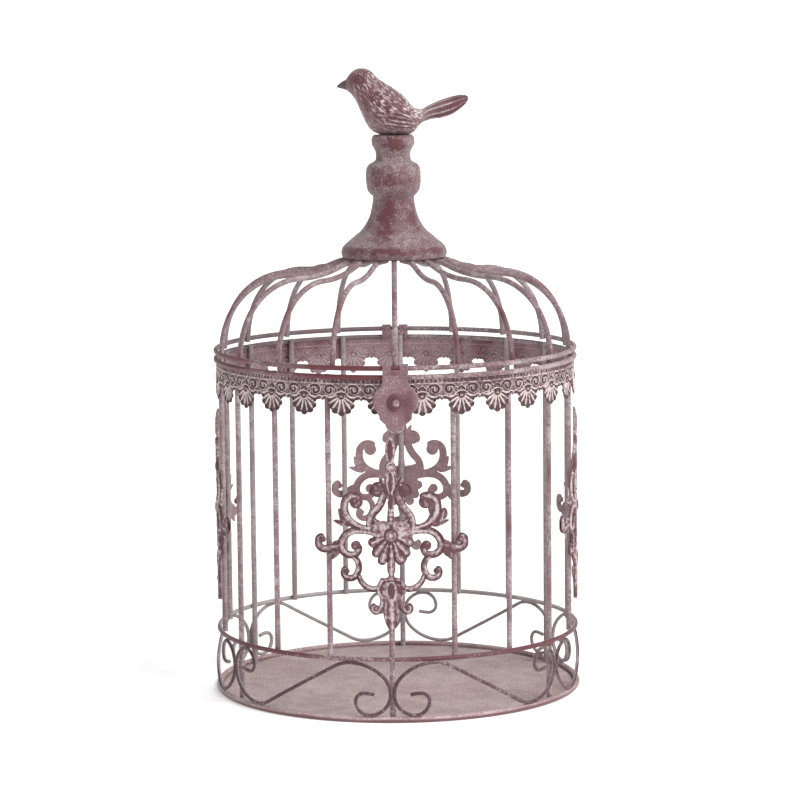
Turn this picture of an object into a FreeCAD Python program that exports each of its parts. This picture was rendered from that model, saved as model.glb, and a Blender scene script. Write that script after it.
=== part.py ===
import FreeCAD, Part
import math
import os

from FreeCAD import Placement, Rotation, Vector

# A wire birdcage that holds wedding cards: a round cage on a tray, a hinged dome lid with a bell
# finial and a bird, and a hasp at the front. Millimetres, +Z up, the front towards -Y, and the
# origin under the middle of the tray. Angles go from the front towards +X.

SIZES = {
    # upright wires of the cage, which stand a little turned against the hinge and the hasp
    "cage_turn": -1.8,
    "bar_count": 18,
    "bar_radius": 1.7,
    "bar_circle": 110.0,
    "bar_top": 210.9,
    "short_bar_foot": 37.8,
    # hoops
    "hoop_radius": 112.65,
    "hoop_wire": 1.5,
    "body_hoop_height": 209.7,
    "lid_hoop_height": 215.1,
    "gallery_radius": 113.0,
    "gallery_wire": 1.4,
    "gallery_height": 38.8,
    # tray
    "tray_thickness": 1.0,
    "tray_edge_circle": 113.5,
    "tray_edge_radius": 1.9,
    # wire scrolls under the gallery hoop
    "scroll_count": 6,
    "scroll_circle": 114.2,
    "scroll_wire": 1.1,
    "scroll_low": 4.65,
    "scroll_high": 36.75,
    "scroll_spacing": 2.3,
    "scroll_slope": 29.0,
    "scroll_shoulder": 20.0,
    "scroll_flank": 15.5,
    "scroll_toe": 8.4,
    "scroll_eye": 5.1,
    "scroll_tail": 25.0,
    # dome ribs
    "rib_foot": 213.4,
    "rib_lean": 84.8,
    "rib_low_curve": 52.2,
    "rib_low_end": 58.4,
    "rib_high_curve": 41.4,
    "rib_high_end": 0.0,
    "rib_ogee_curve": 69.7,
    "rib_ogee_end": 24.0,
    "rib_hub_curve": 31.3,
    "rib_hub_height": 270.9,
    "rib_tip_circle": 14.0,
    # hub, finial and bird
    "hub_radius": 30.0,
    "hub_bottom": 272.3,
    "hub_thickness": 2.0,
    "bell_bottom": 272.7,
    "bell_recess": 30.5,
    "collar_radius": 13.4,
    "collar_top": 348.5,
    "screw_radius": 2.0,
    "screw_top": 300.0,
    "screw_head_radius": 4.0,
    "screw_head_height": 2.5,
    "pin_radius": 1.5,
    "pin_bottom": 338.0,
    "pin_top": 362.0,
    # lace band
    "lace_inner": 111.7,
    "lace_thickness": 0.8,
    "lace_top": 207.2,
    "lace_bottom": 187.6,
    "lace_boss_height": 199.0,
    "lace_edge": 196.6,
    "lace_count": 29,
    "lace_turn": -4.3,
    # scroll mounts on the bars
    "mount_inner": 111.7,
    "mount_thickness": 2.0,
    "mount_height": 114.4,
    # hinge strap and hasp
    "knuckle_circle": 112.53,
    "knuckle_bore": 1.9,
    "sheet": 0.8,
    "strap_width": 17.0,
    "strap_loop": 2.3,
    "hasp_width": 15.4,
    "notch_width": 5.2,
    "notch_bottom": 213.0,
    "hasp_slot_bottom": 214.3,
    "knob_height": 194.8,
    "knob_radius": 2.65,
    "knob_length": 2.2,
    "boss_radius": 4.15,
    "boss_thickness": 0.7,
}

doc = FreeCAD.newDocument("card_cage")
sheet = doc.addObject("Spreadsheet::Sheet", "dims")
for row, (alias, number) in enumerate(SIZES.items(), start=1):
    sheet.set(f"A{row}", alias)
    sheet.set(f"B{row}", str(number))
    sheet.setAlias(f"B{row}", alias)
doc.recompute()

nodes = []


def size(alias):
    """A driving dimension, read from the sheet."""
    return float(sheet.get(alias))


def make(kind, name, sizes, **links):
    """A document object whose properties follow expressions on the sheet."""
    item = doc.addObject(kind, name)
    for path, expression in sizes.items():
        item.setExpression(path, expression)
    for link, value in links.items():
        setattr(item, link, value)
    return item


def keep(item):
    """Marks an object as one of the pieces that are written out."""
    nodes.append(item)
    return item


def computed(name, shape, placement=None):
    """A piece whose outline no primitive gives."""
    item = doc.addObject("Part::Feature", name)
    item.Shape = shape
    if placement:
        item.Placement = placement
    return item


def cut(name, base, *tools):
    """The base with every tool taken away."""
    tool = tools[0]
    if len(tools) > 1:
        tool = make("Part::Compound", f"{name}_cutters", {}, Links=list(tools))
    return make("Part::Cut", name, {}, Base=base, Tool=tool)


def fuse(name, *items):
    return make("Part::MultiFuse", name, {}, Shapes=list(items))


def hoop(name, circle, wire, height):
    return make("Part::Torus", name, {"Radius1": circle, "Radius2": wire, "Placement.Base.z": height})


def upright_rod(name, radius, low, high):
    """A round rod on the middle axis."""
    return make("Part::Cylinder", name,
                {"Radius": radius, "Height": f"{high} - ({low})", "Placement.Base.z": low})


def cross_rod(name, radius, width, depth, height):
    """A round rod along X, centred, at a place in Y and Z."""
    rod = doc.addObject("Part::Cylinder", name)
    rod.Placement = Placement(Vector(), Rotation(Vector(0, 1, 0), 90))
    for path, expression in {"Radius": radius, "Height": width, "Placement.Base.x": f"-({width}) / 2",
                             "Placement.Base.y": depth, "Placement.Base.z": height}.items():
        rod.setExpression(path, expression)
    return rod


def block(name, width, near, far, low, high, middle="0"):
    """A box about a middle in X, from near to far in Y and from low to high in Z."""
    return make("Part::Box", name,
                {"Length": width, "Width": f"{far} - ({near})", "Height": f"{high} - ({low})",
                 "Placement.Base.x": f"{middle} - ({width}) / 2", "Placement.Base.y": near,
                 "Placement.Base.z": low})


def on_cylinder(radius, angle, height):
    """A point at an angle in degrees from the front."""
    turn = math.radians(angle)
    return Vector(radius * math.sin(turn), -radius * math.cos(turn), height)


def step(point, heading, amount, turn):
    """One straight run of that length, or one tangent arc of that radius, in a flat drawing."""
    start = math.radians(heading)
    if turn == 0:
        return point + Vector(math.cos(start), math.sin(start)) * amount, heading
    end = math.radians(heading + turn)
    reach = math.copysign(amount, turn)
    moved = Vector(math.sin(end) - math.sin(start), math.cos(start) - math.cos(end)) * reach
    return point + moved, heading + turn


def arc_edges(points):
    """Arcs through each three points in turn, where the end of one is the start of the next."""
    corners = [Vector(*point) for point in points]
    return [Part.Arc(*corners[first:first + 3]).toShape() for first in range(0, len(corners) - 2, 2)]


# Hoops and tray
body_ring = keep(hoop("body_ring", "dims.hoop_radius", "dims.hoop_wire", "dims.body_hoop_height"))
lid_ring = keep(hoop("lid_ring", "dims.hoop_radius", "dims.hoop_wire", "dims.lid_hoop_height"))
gallery_ring = keep(hoop("gallery_ring", "dims.gallery_radius", "dims.gallery_wire",
                         "dims.gallery_height"))

tray_floor = make("Part::Cylinder", "tray_floor",
                  {"Radius": "dims.tray_edge_circle", "Height": "dims.tray_thickness"})
tray_edge = hoop("tray_edge", "dims.tray_edge_circle", "dims.tray_edge_radius", "dims.tray_edge_radius")
base_tray = keep(fuse("base_tray", tray_floor, tray_edge))

# Upright bars: every third one runs down to the tray floor
LONG_BAR_STEP = 3


def bar(name, index, foot):
    angle = f"({index} * 360 / dims.bar_count + dims.cage_turn)"
    rod = make("Part::Cylinder", f"{name}_rod",
               {"Radius": "dims.bar_radius", "Height": f"dims.bar_top - {foot}",
                "Placement.Base.x": f"dims.bar_circle * sin({angle})",
                "Placement.Base.y": f"-dims.bar_circle * cos({angle})",
                "Placement.Base.z": foot})
    return keep(cut(name, rod, body_ring, gallery_ring))


bar_total = int(size("bar_count"))
long_bars = list(range(0, bar_total, LONG_BAR_STEP))
short_bars = [index for index in range(bar_total) if index not in long_bars]
for order, index in enumerate(long_bars, start=1):
    bar(f"long_bar_{order}", index, "dims.tray_thickness")
for order, index in enumerate(short_bars, start=1):
    bar(f"short_bar_{order:02d}", index, "dims.short_bar_foot")


# S-shaped wire scrolls, bent round the cage between the tray edge and the gallery hoop
def scroll_stops():
    """Places and headings along one scroll, drawn flat about its middle."""
    slope = math.radians(size("scroll_slope"))
    half_height = (size("scroll_high") - size("scroll_low")) / 2
    sector = 2 * math.pi * size("scroll_circle") / size("scroll_count")
    half_width = (sector - size("scroll_spacing")) / 2
    shoulder = size("scroll_shoulder")
    flank = size("scroll_flank")
    half_turn = math.sqrt(0.5)
    run = (half_height - shoulder * (1 - math.cos(slope))) / math.sin(slope)
    reach = run * math.cos(slope) + shoulder * math.sin(slope)
    crown = (half_width - reach - flank * (1 - half_turn)) / half_turn
    heel = 2 * half_height - crown * (1 - half_turn) - flank * half_turn
    moves = [(run / 2, 0), (run / 2, 0), (shoulder, -size("scroll_slope")), (crown, -45), (flank, -45),
             (heel, -45), (heel, -45), (size("scroll_toe"), -45), (size("scroll_toe"), -45),
             (size("scroll_eye"), -45), (size("scroll_eye"), -45), (size("scroll_tail"), -15)]
    stops = [(Vector(), size("scroll_slope"))]
    for amount, turn in moves:
        stops.append(step(*stops[-1], amount, turn))
    mirrored = [(point * -1, heading) for point, heading in reversed(stops[1:])]
    return mirrored + stops


def tangent_arcs(start, start_way, end, end_way):
    """Two arcs that leave one point and reach the next along the given directions."""
    chord = end - start
    both = start_way + end_way
    slack = 2 * (1 - start_way.dot(end_way))
    along = chord.dot(both)
    if slack < 1e-9:
        reach = chord.dot(chord) / (2 * along)
    else:
        reach = (math.sqrt(along * along + slack * chord.dot(chord)) - along) / slack
    middle = (start + end + (start_way - end_way) * reach) * 0.5
    edges = []
    for first, corner, last in ((start, start + start_way * reach, middle),
                                (middle, end - end_way * reach, end)):
        lean = (last - first).Length / (2 * reach)
        top = (first + corner * (2 * lean) + last) * (1 / (2 + 2 * lean))
        if (top - (first + last) * 0.5).Length < 1e-6:
            edges.append(Part.LineSegment(first, last).toShape())
        else:
            edges.append(Part.Arc(first, top, last).toShape())
    return edges


def scroll_wire(middle_angle, side):
    """The bent wire of one scroll: side is 1, or -1 for its mirror image."""
    circle = size("scroll_circle")
    middle_height = (size("scroll_high") + size("scroll_low")) / 2
    places = []
    for point, heading in scroll_stops():
        angle = middle_angle + side * math.degrees(point.x / circle)
        way = math.radians(heading)
        level = on_cylinder(1, angle + 90, 0) * (side * math.cos(way))
        places.append((on_cylinder(circle, angle, middle_height + point.y),
                       level + Vector(0, 0, math.sin(way))))
    edges = []
    for start, end in zip(places, places[1:]):
        edges += tangent_arcs(*start, *end)
    section = Part.Wire(Part.Circle(*places[0], size("scroll_wire")).toShape())
    pipe = Part.BRepOffsetAPI.MakePipeShell(Part.Wire(edges))
    pipe.add(section)
    pipe.build()
    pipe.makeSolid()
    return pipe.shape()


scroll_total = int(size("scroll_count"))
for order in range(scroll_total):
    sector_angle = 360 / scroll_total
    wire = computed(f"s_scroll_{order + 1}_wire",
                    scroll_wire((order - 0.5) * sector_angle + size("cage_turn"),
                                1 if order % 2 == 0 else -1))
    keep(cut(f"s_scroll_{order + 1}", wire, gallery_ring, base_tray))

# Hub plate, finial and its screw
hub_top = "dims.hub_bottom + dims.hub_thickness"
hub_plate = upright_rod("hub_plate", "dims.hub_radius", "dims.hub_bottom", hub_top)
screw_shank = upright_rod("screw_shank", "dims.screw_radius", "dims.hub_bottom", "dims.screw_top")
screw_head = upright_rod("screw_head", "dims.screw_head_radius",
                         "dims.hub_bottom - dims.screw_head_height", "dims.hub_bottom")
hub_disc = keep(cut("hub_disc", hub_plate, screw_shank))
keep(fuse("finial_screw", screw_head, screw_shank))
bird_pin = keep(upright_rod("bird_pin", "dims.pin_radius", "dims.pin_bottom", "dims.pin_top"))

# Radius and height of the finial: bell, bulb and neck, up to its collar
FINIAL_CURVE = ((32.2, 272.7), (33.2, 274.6), (31.5, 278.3), (22.8, 284.8), (16.6, 293.3), (14.3, 301.0),
                (13.1, 309.6), (15.9, 312.6), (17.0, 316.6), (17.2, 321.5), (16.7, 326.5), (15.2, 330.0),
                (12.0, 332.2), (10.9, 336.0), (13.4, 344.6))


def finial_profile():
    curve = arc_edges([(radius, 0, height) for radius, height in FINIAL_CURVE])
    corners = [(size("collar_radius"), 0, FINIAL_CURVE[-1][1]),
               (size("collar_radius"), 0, size("collar_top")), (0, 0, size("collar_top")),
               (0, 0, size("bell_bottom")), (FINIAL_CURVE[0][0], 0, size("bell_bottom"))]
    return Part.Face(Part.Wire(curve + Part.makePolygon([Vector(*corner) for corner in corners]).Edges))


finial_half = computed("finial_half", finial_profile())
finial_turned = make("Part::Revolution", "finial_turned", {}, Source=finial_half, Axis=Vector(0, 0, 1),
                     Base=Vector(), Angle=360.0, Solid=True)
bell_recess = upright_rod("bell_recess", "dims.bell_recess", "dims.hub_bottom", hub_top)
keep(cut("finial", finial_turned, bell_recess, screw_shank, bird_pin))

# Dome ribs, welded to the lid hoop and under the hub plate


def rib_path(angle):
    """The middle line of one rib: foot, shoulder, ogee and the run under the hub plate."""
    moves = [(0, 0), (size("rib_low_curve"), size("rib_low_end") - size("rib_lean")),
             (size("rib_high_curve"), size("rib_high_end") - size("rib_low_end")),
             (size("rib_ogee_curve"), size("rib_ogee_end") - size("rib_high_end")),
             (size("rib_hub_curve"), -size("rib_ogee_end"))]
    point, heading = Vector(), size("rib_lean")
    for amount, turn in moves:
        point, heading = step(point, heading, amount, turn)
    rise = size("rib_hub_height") - size("rib_foot") - point.y
    moves[0] = (rise / math.sin(math.radians(size("rib_lean"))), 0)

    def placed(flat):
        return on_cylinder(-flat.x, angle, flat.y)

    edges = []
    point, heading = Vector(-size("bar_circle"), size("rib_foot")), size("rib_lean")
    for amount, turn in moves:
        halfway = step(point, heading, amount if turn else amount / 2, turn / 2)[0]
        end, heading = step(point, heading, amount, turn)
        if turn:
            edges.append(Part.Arc(placed(point), placed(halfway), placed(end)).toShape())
        else:
            edges.append(Part.LineSegment(placed(point), placed(end)).toShape())
        point = end
    tip = Vector(-size("rib_tip_circle"), point.y)
    edges.append(Part.LineSegment(placed(point), placed(tip)).toShape())
    return Part.Wire(edges)


for index in range(bar_total):
    name = f"dome_rib_{index + 1:02d}"
    path = rib_path(index * 360 / bar_total)
    spine = computed(f"{name}_spine", path)
    first = path.OrderedEdges[0]
    section = make("Part::Circle", f"{name}_section", {"Radius": "dims.bar_radius"})
    section.Placement = Placement(first.valueAt(first.FirstParameter),
                                  Rotation(Vector(0, 0, 1), first.tangentAt(first.FirstParameter)))
    rod = make("Part::Sweep", f"{name}_rod", {}, Sections=[section], Solid=True, Frenet=False,
               Spine=(spine, [f"Edge{number + 1}" for number in range(len(path.Edges))]))
    keep(cut(name, rod, lid_ring, hub_disc))

# Bird: place along its length, lowest and highest point and half width of each cross-section
BIRD_SECTIONS = ((-34.6, 378.5, 379.3, 0.4), (-29.6, 377.2, 382.8, 2.5), (-25.4, 374.7, 386.9, 6.4),
                 (-20.6, 368.0, 389.7, 9.2), (-15.2, 353.6, 389.6, 11.9), (-8.6, 349.0, 383.2, 13.6),
                 (0.2, 348.2, 377.7, 14.0), (7.5, 348.4, 372.0, 12.3), (13.0, 350.2, 365.8, 9.0),
                 (17.4, 355.2, 364.4, 6.4), (22.5, 358.2, 366.4, 5.8), (30.4, 359.2, 369.5, 6.2),
                 (38.4, 362.4, 371.9, 5.8), (43.6, 366.4, 372.3, 4.2), (46.5, 369.4, 371.4, 1.2))


def bird_form():
    rings = []
    for place, low, high, half_width in BIRD_SECTIONS:
        stretch = FreeCAD.Matrix()
        stretch.scale(Vector(1, half_width, (high - low) / 2))
        stretch.move(Vector(place, 0, (low + high) / 2))
        circle = Part.Wire(Part.Circle(Vector(), Vector(1, 0, 0), 1).toShape())
        rings.append(circle.transformGeometry(stretch))
    return Part.makeLoft(rings, True)


bird_seat = upright_rod("bird_seat", "dims.collar_radius * 2", "dims.collar_top - dims.collar_radius",
                        "dims.collar_top")
keep(cut("bird", computed("bird_body", bird_form()), bird_seat, bird_pin))


# Lace band: a stamped band with palmettes that hang from its lower edge
PALMETTE_SIDE = ((8.7, 2.4), (7.9, 0.0), (8.0, -2.4), (7.4, -3.9), (6.3, -4.4), (7.7, -5.6), (7.5, -7.4),
                 (6.3, -7.8), (4.8, -7.6), (5.4, -9.3), (4.4, -10.4), (3.0, -10.3), (2.0, -9.6),
                 (2.0, -10.9), (1.0, -12.2))


def lace_gap():
    """The space between two palmettes, as a radial cutter at the front."""
    half_pitch = math.pi * (2 * size("lace_inner") + size("lace_thickness")) / 2 / size("lace_count")
    drop = size("lace_boss_height")
    sides = []
    for side in (-1, 1):
        flank = [(side * (half_pitch - across), drop + up, 0) for across, up in PALMETTE_SIDE]
        sides.append(arc_edges(flank))
    left, right = (Vector(side * (half_pitch - PALMETTE_SIDE[0][0]), drop + PALMETTE_SIDE[0][1], 0)
                   for side in (-1, 1))
    low_left, low_right = (Vector(side * (half_pitch - PALMETTE_SIDE[-1][0]), drop + PALMETTE_SIDE[-1][1], 0)
                           for side in (-1, 1))
    edge = Part.Arc(left, Vector(0, size("lace_edge"), 0), right).toShape()
    foot = Part.LineSegment(low_left, low_right).toShape()
    return radial_cutter(Part.Face(Part.Wire(Part.__sortEdges__(sides[0] + [edge] + sides[1] + [foot]))))


def radial_cutter(face, inner=100.0, outer=120.0):
    """A face drawn in X and Y, turned upright and extruded outwards at the front."""
    face = face.copy()
    face.translate(Vector(0, 0, inner))
    cutter = face.extrude(Vector(0, 0, outer - inner))
    cutter.rotate(Vector(), Vector(1, 0, 0), 90)
    return cutter


def tube(inner, thickness, low, high):
    """A thin round wall about the middle axis."""
    foot = Vector(0, 0, low)
    outside = Part.makeCylinder(inner + thickness, high - low, foot)
    return outside.cut(Part.makeCylinder(inner, high - low, foot))


def lace_shape():
    gap = lace_gap()
    gaps = []
    for order in range(int(size("lace_count"))):
        turned = gap.copy()
        turned.rotate(Vector(), Vector(0, 0, 1), size("lace_turn") + (order + 0.5) * 360 / size("lace_count"))
        gaps.append(turned)
    wall = tube(size("lace_inner"), size("lace_thickness"), size("lace_bottom"), size("lace_top"))
    return wall.cut(Part.Compound(gaps))


keep(computed("lace_band", lace_shape()))

# Scroll mounts: arms of the right half, about the rosette, each with its width
MOUNT_ARMS = (
    (4.4, ((10.6, 26.4), (8.0, 30.2), (4.2, 27.4), (5.6, 20.4), (9.8, 14.4), (12.6, 9.4), (12.4, 3.0))),
    (4.4, ((19.6, 23.4), (24.8, 23.6), (28.2, 18.2), (27.6, 12.4), (23.8, 7.4), (19.4, 4.9), (14.0, 3.8))),
    (4.2, ((7.6, 0.6), (14.6, 2.7), (21.6, 2.9), (28.4, -1.0), (30.6, -6.4), (28.6, -10.7), (24.0, -12.2),
           (20.4, -10.6), (19.6, -7.6))),
    (4.2, ((30.0, -6.6), (35.7, -8.4), (40.6, -9.2), (44.0, -7.6), (44.6, -4.4), (44.2, -2.8),
           (43.0, -1.8))),
    (3.6, ((22.3, -13.6), (19.8, -18.2), (20.8, -23.2), (24.8, -26.4), (28.4, -25.2), (29.2, -23.2),
           (28.6, -21.0))),
    (3.3, ((19.6, -25.6), (16.8, -30.2), (11.7, -32.7), (7.8, -31.8), (5.8, -27.4))),
    (3.0, ((1.0, 22.0), (2.0, 26.0), (4.4, 29.8), (7.0, 33.0), (7.6, 37.8))),
    (3.0, ((5.6, -35.0), (5.8, -42.0), (8.6, -46.6), (11.2, -46.0), (11.0, -42.8))),
)
# Middle and radius of the round eyes and lobes of the right half
MOUNT_EYES = ((8.0, 27.0, 3.8), (20.9, 20.0, 4.0), (21.4, -6.4, 3.0), (4.6, 5.6, 4.4), (9.8, 4.6, 3.6))
# Pointed leaves of the right half
MOUNT_LEAVES = (
    ((26.6, 11.0), (34.8, 7.9), (26.6, 4.6)),
    ((28.6, 8.4), (31.6, 16.0), (32.8, 11.2), (30.6, 7.0)),
    ((30.4, -2.6), (38.4, -8.0), (37.4, -16.4), (30.2, -11.6)),
)
# Tips and width of the petals of the fan below the rosette
MOUNT_PETALS = ((13.8, -5.4), (10.8, -12.8), (6.4, -17.9), (0.0, -23.4))
PETAL_WIDTH = 6.2
# Right outline of the bud at the foot and of the stem at the top, from one end to the other
MOUNT_BUD = ((0.0, -22.6), (1.5, -24.4), (2.4, -26.2), (5.6, -27.6), (7.2, -31.4), (7.2, -36.6),
             (6.2, -41.0), (6.4, -45.2), (5.4, -49.4), (4.2, -54.6), (0.0, -58.8))
MOUNT_STEM = ((0.0, 62.6), (2.0, 58.0), (3.1, 52.0), (2.6, 47.0), (1.8, 44.2), (3.4, 41.6), (2.6, 38.8),
              (3.8, 34.0), (2.0, 27.0), (1.9, 16.0), (2.6, 7.0), (1.6, 4.0), (0.0, 2.0))
ROSETTE_RADIUS = 4.6


def band(points, width):
    """A flat strip of even width with round ends."""
    spine = Part.Wire(arc_edges([(across, up, 0) for across, up in points]))
    return Part.Face(spine.makeOffset2D(width / 2))


def disc(across, up, radius):
    return Part.Face(Part.Wire(Part.Circle(Vector(across, up, 0), Vector(0, 0, 1), radius).toShape()))


def leaf(points):
    corners = [Vector(across, up, 0) for across, up in points]
    return Part.Face(Part.makePolygon(corners + corners[:1]))


def mirrored_outline(points):
    """A face from its right outline, whose first and last points lie on the middle line."""
    right = arc_edges([(across, up, 0) for across, up in points])
    left = arc_edges([(-across, up, 0) for across, up in points])
    return Part.Face(Part.Wire(Part.__sortEdges__(right + left)))


def petal(tip):
    corner = Vector(*tip, 0)
    along = corner * (1 / corner.Length)
    side = Vector(-along.y, along.x, 0) * (PETAL_WIDTH / 2)
    middle = corner - along * (PETAL_WIDTH / 2)
    edges = [Part.Arc(middle - side, corner, middle + side).toShape(),
             Part.LineSegment(middle + side, Vector()).toShape(),
             Part.LineSegment(Vector(), middle - side).toShape()]
    return Part.Face(Part.Wire(edges))


def mount_shape():
    """The arms, eyes, leaves and petals of both halves, joined and bent to the cage."""
    faces = [mirrored_outline(MOUNT_BUD), mirrored_outline(MOUNT_STEM)]
    for side in (1, -1):
        def placed(points):
            return [(side * across, up) for across, up in points]

        faces += [band(placed(points), width) for width, points in MOUNT_ARMS]
        faces += [disc(side * across, up, radius) for across, up, radius in MOUNT_EYES]
        faces += [leaf(placed(points)) for points in MOUNT_LEAVES]
        faces += [petal(tip) for tip in placed(MOUNT_PETALS) if tip[0] or side == 1]
    blanks = [radial_cutter(face) for face in faces]
    blank = radial_cutter(disc(0, 0, ROSETTE_RADIUS)).multiFuse(blanks)
    wall = tube(size("mount_inner"), size("mount_thickness"), MOUNT_BUD[-1][1] - 1, MOUNT_STEM[0][1] + 1)
    return blank.removeSplitter().common(wall)


mount_solid = mount_shape()
for order, side in enumerate(("front", "right", "back", "left")):
    turn = order * 90 + size("cage_turn")
    place = Placement(Vector(0, 0, size("mount_height")), Rotation(Vector(0, 0, 1), turn))
    keep(computed(f"ornament_{side}", mount_solid, place))

# Hinge strap at the back: a sheet bent round both hoops, open where the rib and the bar pass
outer_knuckle = "dims.knuckle_bore + dims.sheet"
knuckle_top = f"dims.lid_hoop_height + 2 * ({outer_knuckle})"
outer_web = block("strap_outer_web", "dims.strap_width", "dims.knuckle_circle + dims.knuckle_bore",
                  f"dims.knuckle_circle + {outer_knuckle}", "dims.body_hoop_height", "dims.lid_hoop_height")
inner_web = block("strap_inner_web", "dims.strap_width", f"dims.knuckle_circle - ({outer_knuckle})",
                  "dims.knuckle_circle - dims.knuckle_bore", "dims.body_hoop_height",
                  "dims.lid_hoop_height")
strap_knuckle = cross_rod("strap_knuckle", outer_knuckle, "dims.strap_width", "dims.knuckle_circle",
                          "dims.lid_hoop_height")
strap_loop = cross_rod("strap_loop", "dims.strap_loop", "dims.strap_width", "dims.knuckle_circle",
                       "dims.body_hoop_height")
strap_bore = cross_rod("strap_bore", "dims.knuckle_bore", "dims.strap_width", "dims.knuckle_circle",
                       "dims.lid_hoop_height")
rib_notch = block("strap_rib_notch", "dims.notch_width", "dims.bar_circle - 2 * dims.sheet",
                  f"dims.knuckle_circle + 2 * ({outer_knuckle})", "dims.notch_bottom", knuckle_top)
bar_notch = block("strap_bar_notch", "dims.notch_width", "dims.bar_circle - 2 * dims.sheet",
                  "dims.knuckle_circle", "dims.body_hoop_height - 2 * dims.strap_loop",
                  "dims.bar_top + dims.sheet / 4",
                  "-dims.bar_circle * sin(dims.cage_turn)")
keep(cut("hinge_strap", fuse("strap_sheet", outer_web, inner_web, strap_knuckle, strap_loop), strap_bore,
         rib_notch, bar_notch, body_ring))

# Hasp at the front: right outline of the plate, from its knuckles down to its tip
HASP_SIDE = ((7.7, 207.6), (8.9, 204.5), (11.5, 201.9), (13.2, 197.2), (12.1, 191.0), (10.3, 188.7),
             (9.5, 186.0), (8.2, 183.4), (6.1, 182.0), (5.2, 179.9), (3.8, 177.6), (2.0, 176.8), (0.0, 176.6))


def hasp_sheet():
    right = arc_edges([(across, 0, height) for across, height in HASP_SIDE])
    left = [edge.mirror(Vector(), Vector(1, 0, 0)) for edge in right]
    corners = [Vector(side * HASP_SIDE[0][0], 0, height) for side, height in
               ((1, HASP_SIDE[0][1]), (1, size("lid_hoop_height")), (-1, size("lid_hoop_height")),
                (-1, HASP_SIDE[0][1]))]
    outline = Part.Wire(Part.__sortEdges__(right + left + Part.makePolygon(corners).Edges))
    sheet_face = Part.Face(outline)
    sheet_face.translate(Vector(0, -(size("knuckle_circle") + size("knuckle_bore")), 0))
    return sheet_face.extrude(Vector(0, -size("sheet"), 0))


hasp_flat = computed("hasp_flat", hasp_sheet())
hasp_knuckle = cross_rod("hasp_knuckle", outer_knuckle, "dims.hasp_width", "-dims.knuckle_circle",
                         "dims.lid_hoop_height")
hasp_bore = cross_rod("hasp_bore", "dims.knuckle_bore", "dims.hasp_width", "-dims.knuckle_circle",
                      "dims.lid_hoop_height")
hasp_slot = block("hasp_slot", "dims.notch_width", f"-dims.knuckle_circle - 2 * ({outer_knuckle})",
                  "-dims.knuckle_circle", "dims.hasp_slot_bottom", knuckle_top)
hasp_notch = block("hasp_notch", "dims.notch_width", "-dims.knuckle_circle",
                   "-dims.bar_circle + 2 * dims.sheet", "dims.notch_bottom - dims.sheet", knuckle_top)


def hasp_rod(name, radius, near, far):
    """A rod that stands out of the hasp, from near to far in front of the middle axis."""
    rod = doc.addObject("Part::Cylinder", name)
    rod.Placement = Placement(Vector(), Rotation(Vector(1, 0, 0), 90))
    for path, expression in {"Radius": radius, "Height": f"{far} - ({near})",
                             "Placement.Base.y": f"-({near})",
                             "Placement.Base.z": "dims.knob_height"}.items():
        rod.setExpression(path, expression)
    return rod


plate_back = "dims.knuckle_circle + dims.knuckle_bore"
plate_front = f"dims.knuckle_circle + {outer_knuckle}"
boss_front = f"{plate_front} + dims.boss_thickness"
hasp_boss = hasp_rod("hasp_boss", "dims.boss_radius", plate_back, boss_front)
knob_shank = hasp_rod("knob_shank", "dims.knob_radius", plate_back, f"{boss_front} + dims.knob_length / 2")
knob_dome = make("Part::Ellipsoid", "knob_dome",
                 {"Radius1": "dims.knob_length", "Radius2": "dims.knob_radius",
                  "Radius3": "dims.knob_radius"})
knob_dome.Placement = Placement(Vector(), Rotation(Vector(1, 0, 0), 90))
knob_dome.setExpression("Placement.Base.y", f"-({boss_front} + dims.knob_length / 2)")
knob_dome.setExpression("Placement.Base.z", "dims.knob_height")
keep(fuse("hasp_knob", knob_shank, knob_dome))
keep(cut("hasp_plate", fuse("hasp_stamping", hasp_flat, hasp_knuckle, hasp_boss), hasp_bore, hasp_slot,
         hasp_notch, knob_shank))

# Every object has to be whole before anything is written
doc.recompute()
faults = [item.Label for item in doc.Objects if {"Invalid", "Error"} & set(item.State)]
for item in nodes:
    if item.Shape.isNull() or not item.Shape.isValid() or len(item.Shape.Solids) != 1:
        faults.append(item.Label)
if faults:
    raise SystemExit("failed: " + ", ".join(faults))

os.makedirs("parts", exist_ok=True)
for item in nodes:
    item.Shape.exportStep(f"parts/{item.Label}.step")
print(len(nodes), "pieces")
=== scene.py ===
import math

import bpy
import numpy as np
from mathutils import Matrix, Vector, noise


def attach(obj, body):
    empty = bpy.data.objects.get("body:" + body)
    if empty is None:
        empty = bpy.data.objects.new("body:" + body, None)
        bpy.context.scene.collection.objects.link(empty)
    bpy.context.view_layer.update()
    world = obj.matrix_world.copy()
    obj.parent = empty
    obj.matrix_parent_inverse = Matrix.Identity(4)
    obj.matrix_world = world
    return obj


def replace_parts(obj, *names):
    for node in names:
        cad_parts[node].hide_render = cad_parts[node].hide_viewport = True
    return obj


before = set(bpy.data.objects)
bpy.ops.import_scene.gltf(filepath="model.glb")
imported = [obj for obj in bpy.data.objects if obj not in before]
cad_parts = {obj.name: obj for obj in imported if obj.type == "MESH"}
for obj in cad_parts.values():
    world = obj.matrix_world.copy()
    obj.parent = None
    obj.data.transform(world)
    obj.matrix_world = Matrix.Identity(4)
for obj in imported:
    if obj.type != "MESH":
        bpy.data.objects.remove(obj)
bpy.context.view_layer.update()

# A wire birdcage for wedding cards in worn mauve paint. The wires, hoops, tray and hinge strap are the
# model's own. The castings and stampings are made here with their relief: the lace band, the scroll
# mounts, the hasp, the finial and the bird. Drawings are in millimetres, and the scene is in metres.

MM = 0.001


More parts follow.
